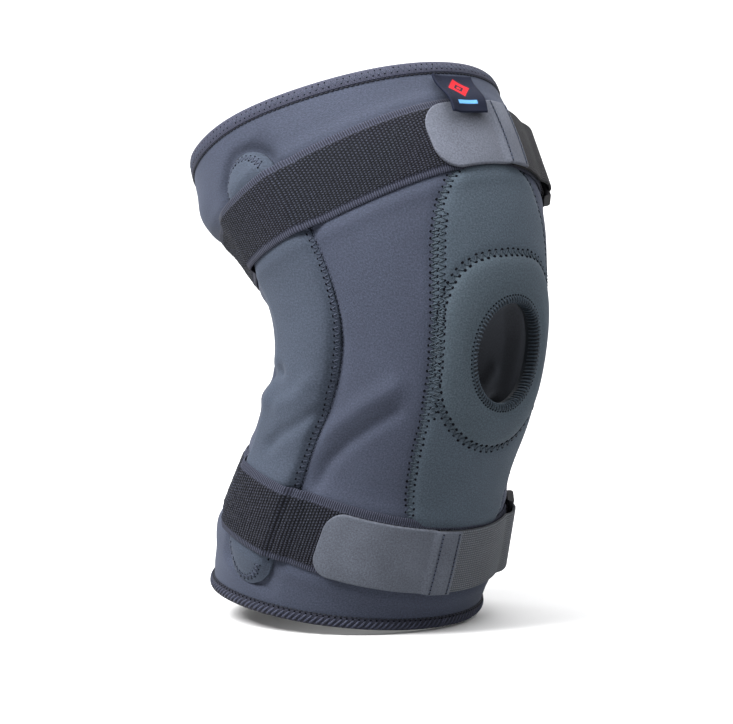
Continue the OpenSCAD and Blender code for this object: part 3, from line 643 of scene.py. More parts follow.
# ------------------------------------------------------------------ materials
class Nodes:
    def __init__(self, name):
        self.m = bpy.data.materials.new(name)
        self.m.use_nodes = True
        self.t = self.m.node_tree
        self.t.nodes.clear()
        self.out = self.t.nodes.new("ShaderNodeOutputMaterial")
        self.b = self.t.nodes.new("ShaderNodeBsdfPrincipled")
        self.t.links.new(self.b.outputs[0], self.out.inputs[0])

    def node(self, kind, **kw):
        n = self.t.nodes.new(kind)
        for k, v in kw.items():
            setattr(n, k, v)
        return n

    def link(self, a, b):
        self.t.links.new(a, b)

    def put(self, sock, v):
        if isinstance(v, bpy.types.NodeSocket):
            self.link(v, sock)
        else:
            sock.default_value = v

    def math(self, op, a, b=None, c=None, clamp=False):
        n = self.node("ShaderNodeMath", operation=op)
        n.use_clamp = clamp
        self.put(n.inputs[0], a)
        if b is not None:
            self.put(n.inputs[1], b)
        if c is not None:
            self.put(n.inputs[2], c)
        return n.outputs[0]

    def uv(self):
        n = self.node("ShaderNodeUVMap")
        n.uv_map = "UVMap"
        return n.outputs[0]

    def obj(self):
        return self.node("ShaderNodeTexCoord").outputs["Object"]

    def xyz(self, v):
        n = self.node("ShaderNodeSeparateXYZ")
        self.link(v, n.inputs[0])
        return n.outputs

    def combine(self, x, y, z=0.0):
        n = self.node("ShaderNodeCombineXYZ")
        for i, v in enumerate((x, y, z)):
            self.put(n.inputs[i], v)
        return n.outputs[0]

    def noise(self, vec, scale, detail=2.0, rough=0.5, dist=0.0):
        n = self.node("ShaderNodeTexNoise")
        self.link(vec, n.inputs["Vector"])
        n.inputs["Scale"].default_value = scale
        n.inputs["Detail"].default_value = detail
        n.inputs["Roughness"].default_value = rough
        n.inputs["Distortion"].default_value = dist
        return n.outputs[0]

    def voronoi(self, vec, scale, rand=1.0, feature="F1"):
        n = self.node("ShaderNodeTexVoronoi", feature=feature)
        self.link(vec, n.inputs["Vector"])
        n.inputs["Scale"].default_value = scale
        n.inputs["Randomness"].default_value = rand
        return n.outputs["Distance"]

    def ramp(self, fac, stops):
        n = self.node("ShaderNodeValToRGB")
        self.link(fac, n.inputs[0])
        cr = n.color_ramp
        while len(cr.elements) > 1:
            cr.elements.remove(cr.elements[-1])
        for i, (p, c) in enumerate(stops):
            e = cr.elements[0] if i == 0 else cr.elements.new(p)
            e.position = p
            e.color = (*c, 1) if len(c) == 3 else c
        return n.outputs[0]

    def remap(self, v, a, b, c, d):
        n = self.node("ShaderNodeMapRange")
        self.put(n.inputs[0], v)
        for i, x in enumerate((a, b, c, d)):
            n.inputs[i + 1].default_value = x
        return n.outputs[0]

    def mix(self, fac, a, b, mode="MIX"):
        n = self.node("ShaderNodeMix", data_type="RGBA", blend_type=mode)
        self.put(n.inputs[0], fac)
        for i, v in ((6, a), (7, b)):
            if isinstance(v, bpy.types.NodeSocket):
                self.link(v, n.inputs[i])
            else:
                n.inputs[i].default_value = (*v, 1) if len(v) == 3 else v
        return n.outputs[2]

    def bump(self, height, strength, dist):
        n = self.node("ShaderNodeBump")
        n.inputs["Strength"].default_value = strength
        n.inputs["Distance"].default_value = dist
        self.link(height, n.inputs["Height"])
        self.link(n.outputs[0], self.b.inputs["Normal"])


def scaled(c, k):
    return tuple(min(1.0, x * k) for x in c)


def grey(v):
    return (v, v, v)


def neoprene(name, col, sheen=0.04, rough=0.8, mottle=0.10, speck=0.30):
    """fine jersey laminated on foam: wales, speckle, soft blotches and a faint sheen"""
    M = Nodes(name)
    uv = M.uv()
    o = M.xyz(uv)
    big = M.noise(uv, 0.022, 3, 0.55)
    fine = M.noise(uv, 1.05, 3, 0.75)
    mid_n = M.noise(uv, 0.3, 3, 0.6)
    c = M.mix(M.remap(big, 0.3, 0.7, 0, 1), scaled(col, 1 - mottle), scaled(col, 1 + mottle))
    c = M.mix(M.remap(mid_n, 0.3, 0.7, 0, 0.5), c, (col[0] * 0.94, col[1] * 1.02, col[2] * 1.0))
    # single light and dark fibres
    c = M.mix(1.0, c, M.ramp(fine, [(0.36, grey(1 - speck)), (0.5, grey(1.0)), (0.65, grey(1 + 1.25 * speck))]), "MULTIPLY")
    M.link(c, M.b.inputs["Base Color"])
    # jersey wales, 0.55 mm apart, with their loops
    wu = M.math("SINE", M.math("MULTIPLY", o[0], 2 * math.pi / 0.62))
    wv = M.math("SINE", M.math("ADD", M.math("MULTIPLY", o[1], 2 * math.pi / 0.5), M.math("MULTIPLY", wu, 1.2)))
    knit = M.math("MULTIPLY_ADD", wv, 0.18, M.math("MULTIPLY", wu, 0.22))
    h = M.math("ADD", M.math("MULTIPLY", knit, 0.8), M.math("MULTIPLY", fine, 1.3))
    h = M.math("ADD", h, M.math("MULTIPLY", mid_n, 0.8))
    M.bump(h, 0.5, 0.00016)
    M.link(M.remap(fine, 0.3, 0.7, rough - 0.07, rough + 0.07), M.b.inputs["Roughness"])
    M.b.inputs["Sheen Weight"].default_value = sheen
    M.b.inputs["Sheen Roughness"].default_value = 0.55
    M.b.inputs["Sheen Tint"].default_value = (0.72, 0.8, 1, 1)
    M.b.inputs["Specular IOR Level"].default_value = 0.1
    return M.m


def loop_elastic(name, pile, edge, half=18.0, selv=3.6):
    """columns of loops across the strap between two ribbed selvages; u runs along it and v across it"""
    M = Nodes(name)
    uv = M.uv()
    o = M.xyz(uv)
    wob = M.noise(uv, 0.5, 2, 0.5)
    u = M.math("MULTIPLY_ADD", M.math("SUBTRACT", wob, 0.5), 0.9, o[0])
    col_n = M.math("MULTIPLY", u, 1 / 1.9)
    colw = M.math("MULTIPLY_ADD", M.math("COSINE", M.math("MULTIPLY", col_n, 2 * math.pi)), 0.5, 0.5)
    # each column's loops start at their own height
    cell = M.math("FLOOR", M.math("ADD", col_n, 0.5))
    ph = M.math("FRACT", M.math("MULTIPLY", cell, 0.37))
    row = M.math("ADD", M.math("MULTIPLY", o[1], 1 / 1.25), ph)
    loopw = M.math("MULTIPLY_ADD", M.math("COSINE", M.math("MULTIPLY", row, 2 * math.pi)), 0.5, 0.5)
    fuzz = M.noise(uv, 1.9, 3, 0.65)
    loops = M.math("MULTIPLY", M.math("POWER", colw, 0.7), M.math("MULTIPLY_ADD", loopw, 0.75, 0.25))
    loops = M.math("MULTIPLY", loops, M.remap(fuzz, 0.25, 0.75, 0.35, 1.25))
    # the pile's colour follows the loops' height: painted shade in the gaps between loops and columns, painted
    # highlight on the loop tops; the fuzz adds random tone
    pc = M.ramp(loops, [(0.0, scaled(pile, 0.18)), (0.25, scaled(pile, 0.42)), (0.62, scaled(pile, 1.5)), (1.0, scaled(pile, 4.2))])
    # selvage: the ribs are painted lighter and the gaps between them darker, painted highlight and painted shade
    rib = M.math("MULTIPLY_ADD", M.math("COSINE", M.math("MULTIPLY", o[0], 2 * math.pi / 1.35)), 0.5, 0.5)
    rib = M.math("MULTIPLY", rib, M.remap(fuzz, 0.3, 0.7, 0.6, 1.1))
    ec = M.ramp(rib, [(0.0, scaled(edge, 0.4)), (0.5, edge), (1.0, scaled(edge, 1.7))])
    av = M.math("ABSOLUTE", o[1])
    at_edge = M.remap(av, half - selv - 0.5, half - selv + 0.3, 0.0, 1.0)
    c = M.mix(at_edge, pc, ec)
    M.link(c, M.b.inputs["Base Color"])
    hgt = M.math("ADD", M.math("MULTIPLY", loops, M.math("SUBTRACT", 1.0, at_edge)), M.math("MULTIPLY", M.math("MULTIPLY", rib, 0.45), at_edge))
    M.bump(hgt, 0.9, 0.0008)
    M.link(M.remap(fuzz, 0.3, 0.7, 0.72, 0.95), M.b.inputs["Roughness"])
    M.b.inputs["Sheen Weight"].default_value = 0.02
    M.b.inputs["Sheen Roughness"].default_value = 0.5
    M.b.inputs["Specular IOR Level"].default_value = 0.08
    return M.m


def ribbed(name, col, pu=1.1, pv=1.3, depth=0.0005):
    """flat elastic: fine ribs along it crossed by the weave"""
    M = Nodes(name)
    uv = M.uv()
    o = M.xyz(uv)
    fz = M.noise(uv, 1.3, 3, 0.6)
    a = M.math("MULTIPLY_ADD", M.math("COSINE", M.math("MULTIPLY", o[1], 2 * math.pi / pv)), 0.5, 0.5)
    ph = M.math("MULTIPLY", M.math("FLOOR", M.math("ADD", M.math("MULTIPLY", o[1], 1 / pv), 0.5)), math.pi)
    b = M.math("MULTIPLY_ADD", M.math("COSINE", M.math("ADD", M.math("MULTIPLY", o[0], 2 * math.pi / pu), ph)), 0.5, 0.5)
    h = M.math("MULTIPLY", M.math("POWER", a, 0.6), M.math("MULTIPLY_ADD", b, 0.6, 0.4))
    h2 = M.math("MULTIPLY", h, M.remap(fz, 0.3, 0.7, 0.7, 1.2))
    # the colour follows the ribs' height: painted shade in the grooves between the ribs, painted highlight on their
    # tops; the noise adds random tone
    c = M.ramp(h2, [(0.0, scaled(col, 0.35)), (0.45, scaled(col, 0.95)), (1.0, scaled(col, 1.6))])
    c = M.mix(M.remap(M.noise(uv, 0.06, 2), 0.35, 0.65, 0, 0.35), c, scaled(col, 0.7))
    M.link(c, M.b.inputs["Base Color"])
    M.bump(h2, 0.8, depth)
    M.link(M.remap(fz, 0.3, 0.7, 0.6, 0.85), M.b.inputs["Roughness"])
    M.b.inputs["Sheen Weight"].default_value = 0.02
    M.b.inputs["Specular IOR Level"].default_value = 0.1
    return M.m


def brushed_tab(name, col):
    """the smooth knitted back of hook tape"""
    M = Nodes(name)
    uv = M.uv()
    o = M.xyz(uv)
    fz = M.noise(uv, 1.0, 3, 0.75)
    big = M.noise(uv, 0.05, 3, 0.5)
    w = M.math("MULTIPLY_ADD", M.math("SINE", M.math("MULTIPLY", M.math("ADD", o[0], o[1]), 2 * math.pi / 0.8)), 0.5, 0.5)
    w2 = M.math("MULTIPLY_ADD", M.math("SINE", M.math("MULTIPLY", M.math("SUBTRACT", o[0], o[1]), 2 * math.pi / 0.8)), 0.5, 0.5)
    wv = M.math("MULTIPLY", w, w2)
    c = M.mix(M.remap(big, 0.3, 0.7, 0, 1), scaled(col, 0.88), scaled(col, 1.1))
    c = M.mix(1.0, c, M.ramp(fz, [(0.25, grey(0.55)), (0.5, grey(1)), (0.75, grey(1.45))]), "MULTIPLY")
    # the weave's hollows are painted a little darker and its tops a little lighter: painted shade and painted
    # highlight
    c = M.mix(1.0, c, M.ramp(wv, [(0, grey(0.8)), (1, grey(1.12))]), "MULTIPLY")
    M.link(c, M.b.inputs["Base Color"])
    M.bump(M.math("ADD", M.math("MULTIPLY", wv, 0.6), fz), 0.45, 0.0003)
    M.link(M.remap(fz, 0.3, 0.7, 0.62, 0.82), M.b.inputs["Roughness"])
    M.b.inputs["Sheen Weight"].default_value = 0.03
    M.b.inputs["Specular IOR Level"].default_value = 0.1
    return M.m


def thread_mat(name, col, spec=0.12):
    """twisted thread"""
    M = Nodes(name)
    o = M.obj()
    n = M.noise(o, 900, 2, 0.6)
    n2 = M.noise(o, 60, 2, 0.5)
    c = M.mix(M.remap(n, 0.3, 0.7, 0, 1), scaled(col, 0.6), scaled(col, 1.5))
    c = M.mix(M.remap(n2, 0.35, 0.65, 0, 0.5), c, scaled(col, 0.8))
    M.link(c, M.b.inputs["Base Color"])
    M.bump(n, 0.5, 0.0002)
    M.link(M.remap(n, 0.3, 0.7, 0.5, 0.75), M.b.inputs["Roughness"])
    M.b.inputs["Specular IOR Level"].default_value = spec
    return M.m


def metal(name, col, rough, brush=(1, 1, 30)):
    M = Nodes(name)
    o = M.obj()
    mp = M.node("ShaderNodeMapping")
    M.link(o, mp.inputs[0])
    mp.inputs["Scale"].default_value = brush
    n = M.noise(mp.outputs[0], 400, 4, 0.6)
    n2 = M.noise(o, 120, 3, 0.6)
    c = M.mix(M.remap(n, 0.3, 0.7, 0, 1), scaled(col, 0.85), scaled(col, 1.08))
    c = M.mix(M.remap(n2, 0.58, 0.75, 0, 0.4), c, scaled(col, 0.6))
    M.link(c, M.b.inputs["Base Color"])
    M.b.inputs["Metallic"].default_value = 1.0
    M.link(M.remap(n, 0.3, 0.7, rough - 0.08, rough + 0.1), M.b.inputs["Roughness"])
    M.bump(n, 0.25, 0.00005)
    return M.m


def moulded(name, col, rough=0.42):
    M = Nodes(name)
    o = M.obj()
    n = M.noise(o, 700, 3, 0.6)
    n2 = M.noise(o, 45, 3, 0.6)
    c = M.mix(M.remap(n2, 0.35, 0.65, 0, 1), scaled(col, 0.8), scaled(col, 1.35))
    M.link(c, M.b.inputs["Base Color"])
    M.link(M.remap(n2, 0.3, 0.7, rough - 0.08, rough + 0.12), M.b.inputs["Roughness"])
    M.b.inputs["Specular IOR Level"].default_value = 0.1
    M.bump(n, 0.2, 0.0001)
    return M.m


def label_mat(name):
    """woven satin tag with a plain red lozenge and a pale blue bar; u runs across it and v down it, from 0 to 1"""
    M = Nodes(name)
    uv = M.uv()
    o = M.xyz(uv)
    u = M.math("DIVIDE", o[0], 27.0)
    v = M.math("DIVIDE", o[1], 19.0)
    rib = M.math("MULTIPLY_ADD", M.math("SINE", M.math("MULTIPLY", o[1], 2 * math.pi / 0.45)), 0.5, 0.5)
    rib2 = M.math("MULTIPLY_ADD", M.math("SINE", M.math("MULTIPLY", o[0], 2 * math.pi / 0.6)), 0.5, 0.5)
    fz = M.noise(uv, 2.0, 2, 0.6)
    # the ribs' tops are painted lighter navy and the grooves between them darker: painted highlight and painted shade
    base = M.mix(M.math("MULTIPLY", rib, 0.6), (0.003, 0.004, 0.009), (0.009, 0.011, 0.022))
    du = M.math("ABSOLUTE", M.math("MULTIPLY", M.math("SUBTRACT", u, 0.5), 27 / 7.4))
    dv = M.math("ABSOLUTE", M.math("MULTIPLY", M.math("SUBTRACT", v, 0.36), 19 / 5.2))
    dd = M.math("ADD", du, dv)
    red = M.math("MULTIPLY", M.remap(dd, 0.95, 1.05, 1, 0), M.remap(dd, 0.42, 0.5, 0.0, 1.0))
    red = M.math("MAXIMUM", red, M.remap(dd, 0.2, 0.26, 1, 0))
    bu = M.math("ABSOLUTE", M.math("SUBTRACT", u, 0.5))
    bv = M.math("ABSOLUTE", M.math("SUBTRACT", v, 0.78))
    bar = M.math("MULTIPLY", M.remap(bu, 0.25, 0.27, 1, 0), M.remap(bv, 0.035, 0.05, 1, 0))
    c = M.mix(red, base, (0.26, 0.008, 0.012))
    c = M.mix(bar, c, (0.07, 0.2, 0.38))
    c = M.mix(1.0, c, M.ramp(fz, [(0.3, grey(0.8)), (0.7, grey(1.15))]), "MULTIPLY")
    M.link(c, M.b.inputs["Base Color"])
    M.bump(M.math("ADD", rib, M.math("MULTIPLY", rib2, 0.5)), 0.4, 0.00015)
    M.link(M.remap(fz, 0.3, 0.7, 0.66, 0.84), M.b.inputs["Roughness"])
    M.b.inputs["Sheen Weight"].default_value = 0.0
    M.b.inputs["Specular IOR Level"].default_value = 0.05
    return M.m


C_SIDE = (0.0226, 0.0262, 0.0402)
C_FRONT = (0.0275, 0.0362, 0.0470)
C_POCKET = (0.0230, 0.0285, 0.0410)
m_side = neoprene("neoprene_side", C_SIDE)
m_front = neoprene("neoprene_front", C_FRONT)
m_pad = neoprene("neoprene_pad", (0.0265, 0.0352, 0.0440))
m_pocket = neoprene("neoprene_pocket", C_POCKET)
m_inside = neoprene("neoprene_lining", (0.012, 0.013, 0.016), sheen=0.05)
m_tape = ribbed("edge_tape", (0.030, 0.032, 0.050), 0.9, 0.8, 0.0003)
m_tape_low = ribbed("edge_tape_low", (0.011, 0.012, 0.020), 0.9, 0.8, 0.0003)
m_loop = loop_elastic("loop_elastic", (0.0100, 0.0112, 0.0168), (0.0205, 0.0225, 0.034))
m_elastic = ribbed("ribbed_elastic", (0.056, 0.061, 0.070), 1.5, 1.3, 0.0007)
m_elastic_dark = ribbed("ribbed_elastic_dark", (0.010, 0.010, 0.0125), 1.5, 1.3, 0.0007)
m_tab = brushed_tab("hook_tab", (0.066, 0.072, 0.091))
m_tab_low = brushed_tab("hook_tab_low", (0.052, 0.058, 0.073))
m_web = ribbed("webbing", (0.013, 0.013, 0.016), 1.6, 1.1, 0.0006)
m_thread = thread_mat("thread", (0.024, 0.029, 0.044))
m_thread_front = thread_mat("thread_front", (0.018, 0.025, 0.033))
m_thread_dark = thread_mat("thread_dark", (0.010, 0.011, 0.016))
m_tape_thread = thread_mat("tape_thread", (0.027, 0.030, 0.047))
m_hole_edge = thread_mat("hole_edge", (0.008, 0.010, 0.013))
# needle holes: a near-black matte colour, painted shade standing in for the shadow inside each hole
m_hole = thread_mat("needle_hole", (0.0030, 0.0033, 0.0045), 0.0)
m_ring = moulded("ring_plastic", (0.008, 0.008, 0.010), 0.6)
m_label = label_mat("label_cloth")

# ------------------------------------------------------------------ outlines of the pieces sewn on, and the heights of the cloth
def rounded(s, f, n, passes=40, closed=False):
    """a smoother line through the same points"""
    kk = np.linspace(0, len(s) - 1, n)
    s, f = np.interp(kk, np.arange(len(s)), s), np.interp(kk, np.arange(len(f)), f)
    for _ in range(passes):
        s[1:-1] = (s[:-2] + 2 * s[1:-1] + s[2:]) / 4
        f[1:-1] = (f[:-2] + 2 * f[1:-1] + f[2:]) / 4
    return s, f


half = np.array([(59.5, 0), (59, 8), (57, 14), (53.5, 20), (47.5, 27), (40, 31.3), (32, 33.8), (17, 35.8), (1, 36), (-10, 35.6), (-25, 35.5), (-44, 34), (-61, 31), (-75, 28), (-84, 24), (-90, 16), (-92.5, 8), (-93, 0)], float)
hs, hf = rounded(half[:, 0], half[:, 1], 120)
OUT_S = np.concatenate([hs, hs[-2:0:-1]])
OUT_F = np.concatenate([hf, -hf[-2:0:-1]])
FX, FY = OUT_F[::2] * 1.36, t_of(OUT_S, OUT_F)[::2]


def pad_line(b, extra=0.0):
    c, d = np.cos(b), np.sin(b)
    n = 2.35 + 0.35 * c
    p = (np.abs(c) ** n + np.abs(d) ** n) ** (-1 / n)
    return (34.4 + extra / 1.36) * d * p, (np.where(c > 0, 51.5, 53.5) + extra) * c * p


PXf, PYt = pad_line(np.arange(120) * 2 * math.pi / 120)
PXf = PXf * 1.36


def pocket_edges(s):
    """front and back edges of a pocket, as angles from the front"""
    sc = np.clip(s, -121, 88)
    a = np.sqrt(np.clip(1 - (np.clip(s - 88, 0, 19.5) / 19.5) ** 2, 0, 1)) * np.sqrt(np.clip(1 - (np.clip(-121 - s, 0, 18) / 18) ** 2, 0, 1))
    fr, ba = pocket_front(sc) + 0.8 * ease((s - 70) / 18), np.minimum(pocket_back(sc), 128)
    m = (fr + ba) / 2
    return m + (fr - m) * a, m + (ba - m) * a


ps = np.concatenate([88 + 19.5 * np.sin(np.linspace(math.pi / 2, 0, 30)), np.linspace(88, -121, 60)[1:-1], -121 - 18 * np.sin(np.linspace(0, math.pi / 2, 30))])
pfr, pba = pocket_edges(ps)
PK_S, PK_F = np.concatenate([ps, ps[-2:0:-1]]), np.concatenate([pfr, pba[-2:0:-1]])
for _ in range(3):
    PK_S, PK_F = (np.roll(PK_S, 1) + 2 * PK_S + np.roll(PK_S, -1)) / 4, (np.roll(PK_F, 1) + 2 * PK_F + np.roll(PK_F, -1)) / 4


def wrap180(f):
    return np.mod(np.asarray(f, float) + 180, 360) - 180


def front_e(s, f):
    return edge_dist(wrap180(f) * 1.36, t_of(s, f), FX, FY)


def pad_e(s, f):
    return edge_dist(wrap180(f) * 1.36, t_of(s, f), PXf, PYt)


def pocket_e(s, f):
    return edge_dist(fold(f) * 1.2, np.asarray(s, float), PK_F * 1.2, PK_S)


def sleeve_h(s, f, ef=None, ek=None):
    ef = front_e(s, f) if ef is None else ef
    ek = pocket_e(s, f) if ek is None else ek
    # it sinks to the panel's seam, and into a crease beside the pocket
    end = ease((s - 78) / 14)
    return soft(s, f) - hollow(s, f) - 0.8 * np.exp(-(ef / 3.4) ** 2) - (0.15 + 2.05 * end) * np.exp(-((ek + 0.8) / (1.9 + 1.3 * end)) ** 2)


def front_h(s, f, ef=None, ep=None):
    ef = front_e(s, f) if ef is None else ef
    ep = pad_e(s, f) if ep is None else ep
    return soft(s, f) - hollow(s, f) - 0.8 * np.exp(-(ef / 3.4) ** 2) + 0.15 + 0.75 * np.sqrt(np.clip(1 - (1 - np.clip(ef / 2.8, 0, 1)) ** 2, 0, 1)) + 0.3 * ease(ef / 9) - 0.55 * np.exp(-(ep / 2.8) ** 2)


def pad_h(s, f, ep=None):
    ep = pad_e(s, f) if ep is None else ep
    g, t = wrap180(f), t_of(s, f)
    r = np.hypot(g / (HOLE_F + 0.8), (t - HOLE_C) / (HOLE_T + 1.2))
    dh = (r - 1) * HOLE_T
    e = np.clip(ep, 0, None)
    crown = 3.0 * (1 - np.exp(-(e / 4.6) ** 1.15)) * (0.62 + 0.38 * ease((dh - 1) / 11))
    return soft(s, f) + 0.62 + crown


def pocket_h(s, f, ek=None):
    ek = pocket_e(s, f) if ek is None else ek
    e = np.clip(ek, 0, None)
    full = lining(s, f) + POUCH
    # loose at the seam and round over the hinge
    end = ease((s + 138) / 26)
    top = ease((s - 78) / 14)
    return soft(s, f) * 0.9 - (0.15 + 2.05 * top) * np.exp(-((ek + 0.8) / (1.9 + 1.3 * top)) ** 2) + 0.18 + np.minimum(full, 0.5 + full) * (1 - np.exp(-(e / (5.0 - 1.6 * end)) ** 1.2)) * (0.5 + 0.5 * end)


def top_h(s, f):
    """the outermost cloth at a place, without the straps"""
    ef, ep, ek = front_e(s, f), pad_e(s, f), pocket_e(s, f)
    h = sleeve_h(s, f, ef, ek)
    h = np.where(ef > 0, front_h(s, f, ef, ep), h)
    h = np.where((ep > 0) & (pad_h(s, f, ep) > h), pad_h(s, f, ep), h)
    return np.where(ek > 0, np.maximum(pocket_h(s, f, ek), h), h)


# ------------------------------------------------------------------ sleeve
def grid_uv(S, F):
    return np.stack([F * (math.pi / 180 * 78), t_of(S, F)], -1)


NF, NS = 440, 270
ff = np.arange(NF + 1) * 360.0 / NF - 180
F0 = np.repeat(ff[:, None], NS, 1)
k = np.linspace(0, 1, NS)[None, :]
S0 = rim_bottom(F0) + 0.5 + (rim_shown(F0) - rim_bottom(F0) - 1.0) * k
H0 = sleeve_h(S0, F0)
O0, I0 = at(S0, F0, H0)[:-1], at(S0, F0, soft(S0, F0) - hollow(S0, F0) - NEO)[:-1]
q0, cu0, cv0 = quads(NF, NS, True)
fcm = np.where(cu0[:, :1] == NF - 1, 180.0, F0[cu0 % NF, cv0].mean(1, keepdims=True))[:, 0]
tm = t_of(S0[cu0 % NF, cv0].mean(1), fcm)
keep = (np.abs(fcm) / (HOLE_F + 2.5)) ** 2 + ((tm - HOLE_C) / (HOLE_T + 4.1)) ** 2 > 1
sleeve = shell("sleeve", O0, I0, [m_side, m_inside], grid_uv(S0, F0), wrap=True, keep=keep)
w0 = turn(S0, F0)[:-1].ravel()
put(sleeve, weights=np.concatenate([w0, w0]), nodes=["thigh_sleeve", "calf_sleeve", "lateral_side_panel", "medial_side_panel", "popliteal_panel"], slot="neoprene_side")
# the loose points inside the opening go, and the two layers are joined round it under its edging
import bmesh
bm = bmesh.new()
bm.from_mesh(sleeve.data)
bmesh.ops.delete(bm, geom=[v for v in bm.verts if not v.link_faces], context="VERTS")
bmesh.ops.bridge_loops(bm, edges=[e for e in bm.edges if e.is_boundary])
bm.to_mesh(sleeve.data)
bm.free()
sleeve.data.shade_smooth()

# ------------------------------------------------------------------ front panel, pad and the opening's edge
NB = 440
cx, cy = OUT_F * 1.36, t_of(OUT_S, OUT_F)
cx, cy = np.append(cx, cx[0]), np.append(cy, cy[0])
L = np.concatenate([[0], np.cumsum(np.hypot(np.diff(cx), np.diff(cy)))])
qq = np.arange(NB) * L[-1] / NB
of, ot = np.interp(qq, L, cx) / 1.36, np.interp(qq, L, cy)
ang = np.unwrap(np.arctan2(of / 36.0, ot / 80.0))
inf_, int_ = (HOLE_F + 2.2) * np.sin(ang), HOLE_C + (HOLE_T + 3.6) * np.cos(ang)
u = np.linspace(0, 1, 76)
u = 1 - (1 - u) ** 1.35          # closer together near the seam
Fp = inf_[:, None] * (1 - u) + of[:, None] * u
Tp = int_[:, None] * (1 - u) + ot[:, None] * u
Sp = s_of(Tp, Fp)
ef = np.clip(front_e(Sp, Fp), 0, None)
ef[:, -1] = 0
Op = at(Sp, Fp, front_h(Sp, Fp, ef))
Ip = at(Sp, Fp, soft(Sp, Fp) - hollow(Sp, Fp) - 1.6)
uvp = np.stack([Fp * (math.pi / 180 * 78), Tp], -1)
front = shell("front_panel_skin", Op, Ip, [m_front], np.concatenate([uvp, uvp[:1]]), wrap=True)
wp = turn(Sp, Fp).ravel()
put(front, weights=np.concatenate([wp, wp]), nodes=["front_panel"], slot="neoprene_front")

bb = np.arange(NB) * 2 * math.pi / NB
pf, pt = pad_line(bb)
hf_, ht_ = (HOLE_F + 2.0) * np.sin(bb), HOLE_C + (HOLE_T + 3.4) * np.cos(bb)
u = np.linspace(0, 1, 52)
u = 1 - (1 - u) ** 1.35
Fb = hf_[:, None] * (1 - u) + pf[:, None] * u
Tb = ht_[:, None] * (1 - u) + pt[:, None] * u
Sb = s_of(Tb, Fb)
eb = np.clip(pad_e(Sb, Fb), 0, None)
eb[:, -1] = 0
# the stitches pinch the pad's edge
pinch = -0.22 * (0.5 + 0.5 * np.cos(bb * 74))[:, None] * np.exp(-((eb - 1.2) / 2.0) ** 2)
Ob = at(Sb, Fb, pad_h(Sb, Fb, eb) + pinch)
Ib = at(Sb, Fb, soft(Sb, Fb) - 0.4)
uvb = np.stack([Fb * (math.pi / 180 * 78), Tb], -1)
pad = shell("patella_pad", Ob, Ib, [m_pad], np.concatenate([uvb, uvb[:1]]), wrap=True)
wb = turn(Sb, Fb).ravel()
put(pad, weights=np.concatenate([wb, wb]), nodes=["patella_buttress"], slot="neoprene_front")
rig.padded(pad, fill=0.7)

# bound edge of the opening: a narrow roll with blanket stitches over it
prof = np.array([[3.7, 2.1], [3.3, 2.75], [2.7, 3.05], [1.9, 2.95], [1.35, 2.4], [1.25, 1.5], [1.45, 0.0], [1.9, -2.5], [2.3, -4.2], [2.7, -4.9], [3.4, -5.1], [4.3, -4.9], [4.7, -4.4], [3.6, -4.15], [2.9, -3.2], [2.3, 0.0], [2.2, 1.3], [2.8, 1.8]])
bb2 = np.arange(300) * 2 * math.pi / 300
Fe = (HOLE_F + 0.7 + prof[None, :, 0] / 1.7) * np.sin(bb2)[:, None]
Te = HOLE_C + (HOLE_T + 1.0 + prof[None, :, 0]) * np.cos(bb2)[:, None]
Se = s_of(Te, Fe)
Pe = at(Se, Fe, soft(Se, Fe) + prof[None, :, 1])
arc = bb2 / (2 * math.pi) * 140
uve = np.stack([np.repeat(np.append(arc, 140.0)[:, None], len(prof) + 1, 1), np.repeat((np.arange(len(prof) + 1) * 1.2)[None], 301, 0)], -1)
rim = hoop("opening_edge", Pe, [m_hole_edge], uve)
put(rim, weights=turn(Se, Fe).ravel(), nodes=["patella_edge_binding"], slot="overlock_thread")

T_over = Threads()
prof2 = np.array([[4.3, 2.1], [3.8, 2.8], [3.0, 3.3], [2.0, 3.3], [1.25, 2.75], [0.95, 1.8], [1.0, 0.6], [1.25, -1.0], [1.6, -2.6]])
K = 84
ba = np.arange(K) * 2 * math.pi / K
lag = np.linspace(0.03, -0.02, len(prof2))
B2 = ba[:, None] + lag[None] + np.random.default_rng(2).normal(0, 0.004, (K, 1))
Fo = (HOLE_F + 0.7 + prof2[None, :, 0] / 1.7) * np.sin(B2)
To = HOLE_C + (HOLE_T + 1.0 + prof2[None, :, 0]) * np.cos(B2)
So = s_of(To, Fo)
Po, _, _, No = frames(So, Fo, soft(So, Fo) + prof2[None, :, 1])
T_over.add(Po, No, 0.5 * np.array([0.5, 0.9, 1, 1, 1, 1, 1, 0.9, 0.6]), turn(So, Fo))
ob, w = T_over.make("opening_overlock", m_thread_front)
put(ob, weights=w, slot="overlock_thread")
H = Threads()
Fh, Th = (HOLE_F + 0.1 + 4.7 / 1.25) * np.sin(ba), HOLE_C + (HOLE_T + 5.7) * np.cos(ba)
Sh = s_of(Th, Fh)
Qh, Ah, _, Nh = frames(Sh, Fh, pad_h(Sh, Fh))
needle_dots(H, Qh, Ah, Nh, turn(Sh, Fh), 0.6)
ob, w = H.make("opening_needle_holes", m_hole)
put(ob, weights=w, slot="overlock_thread")

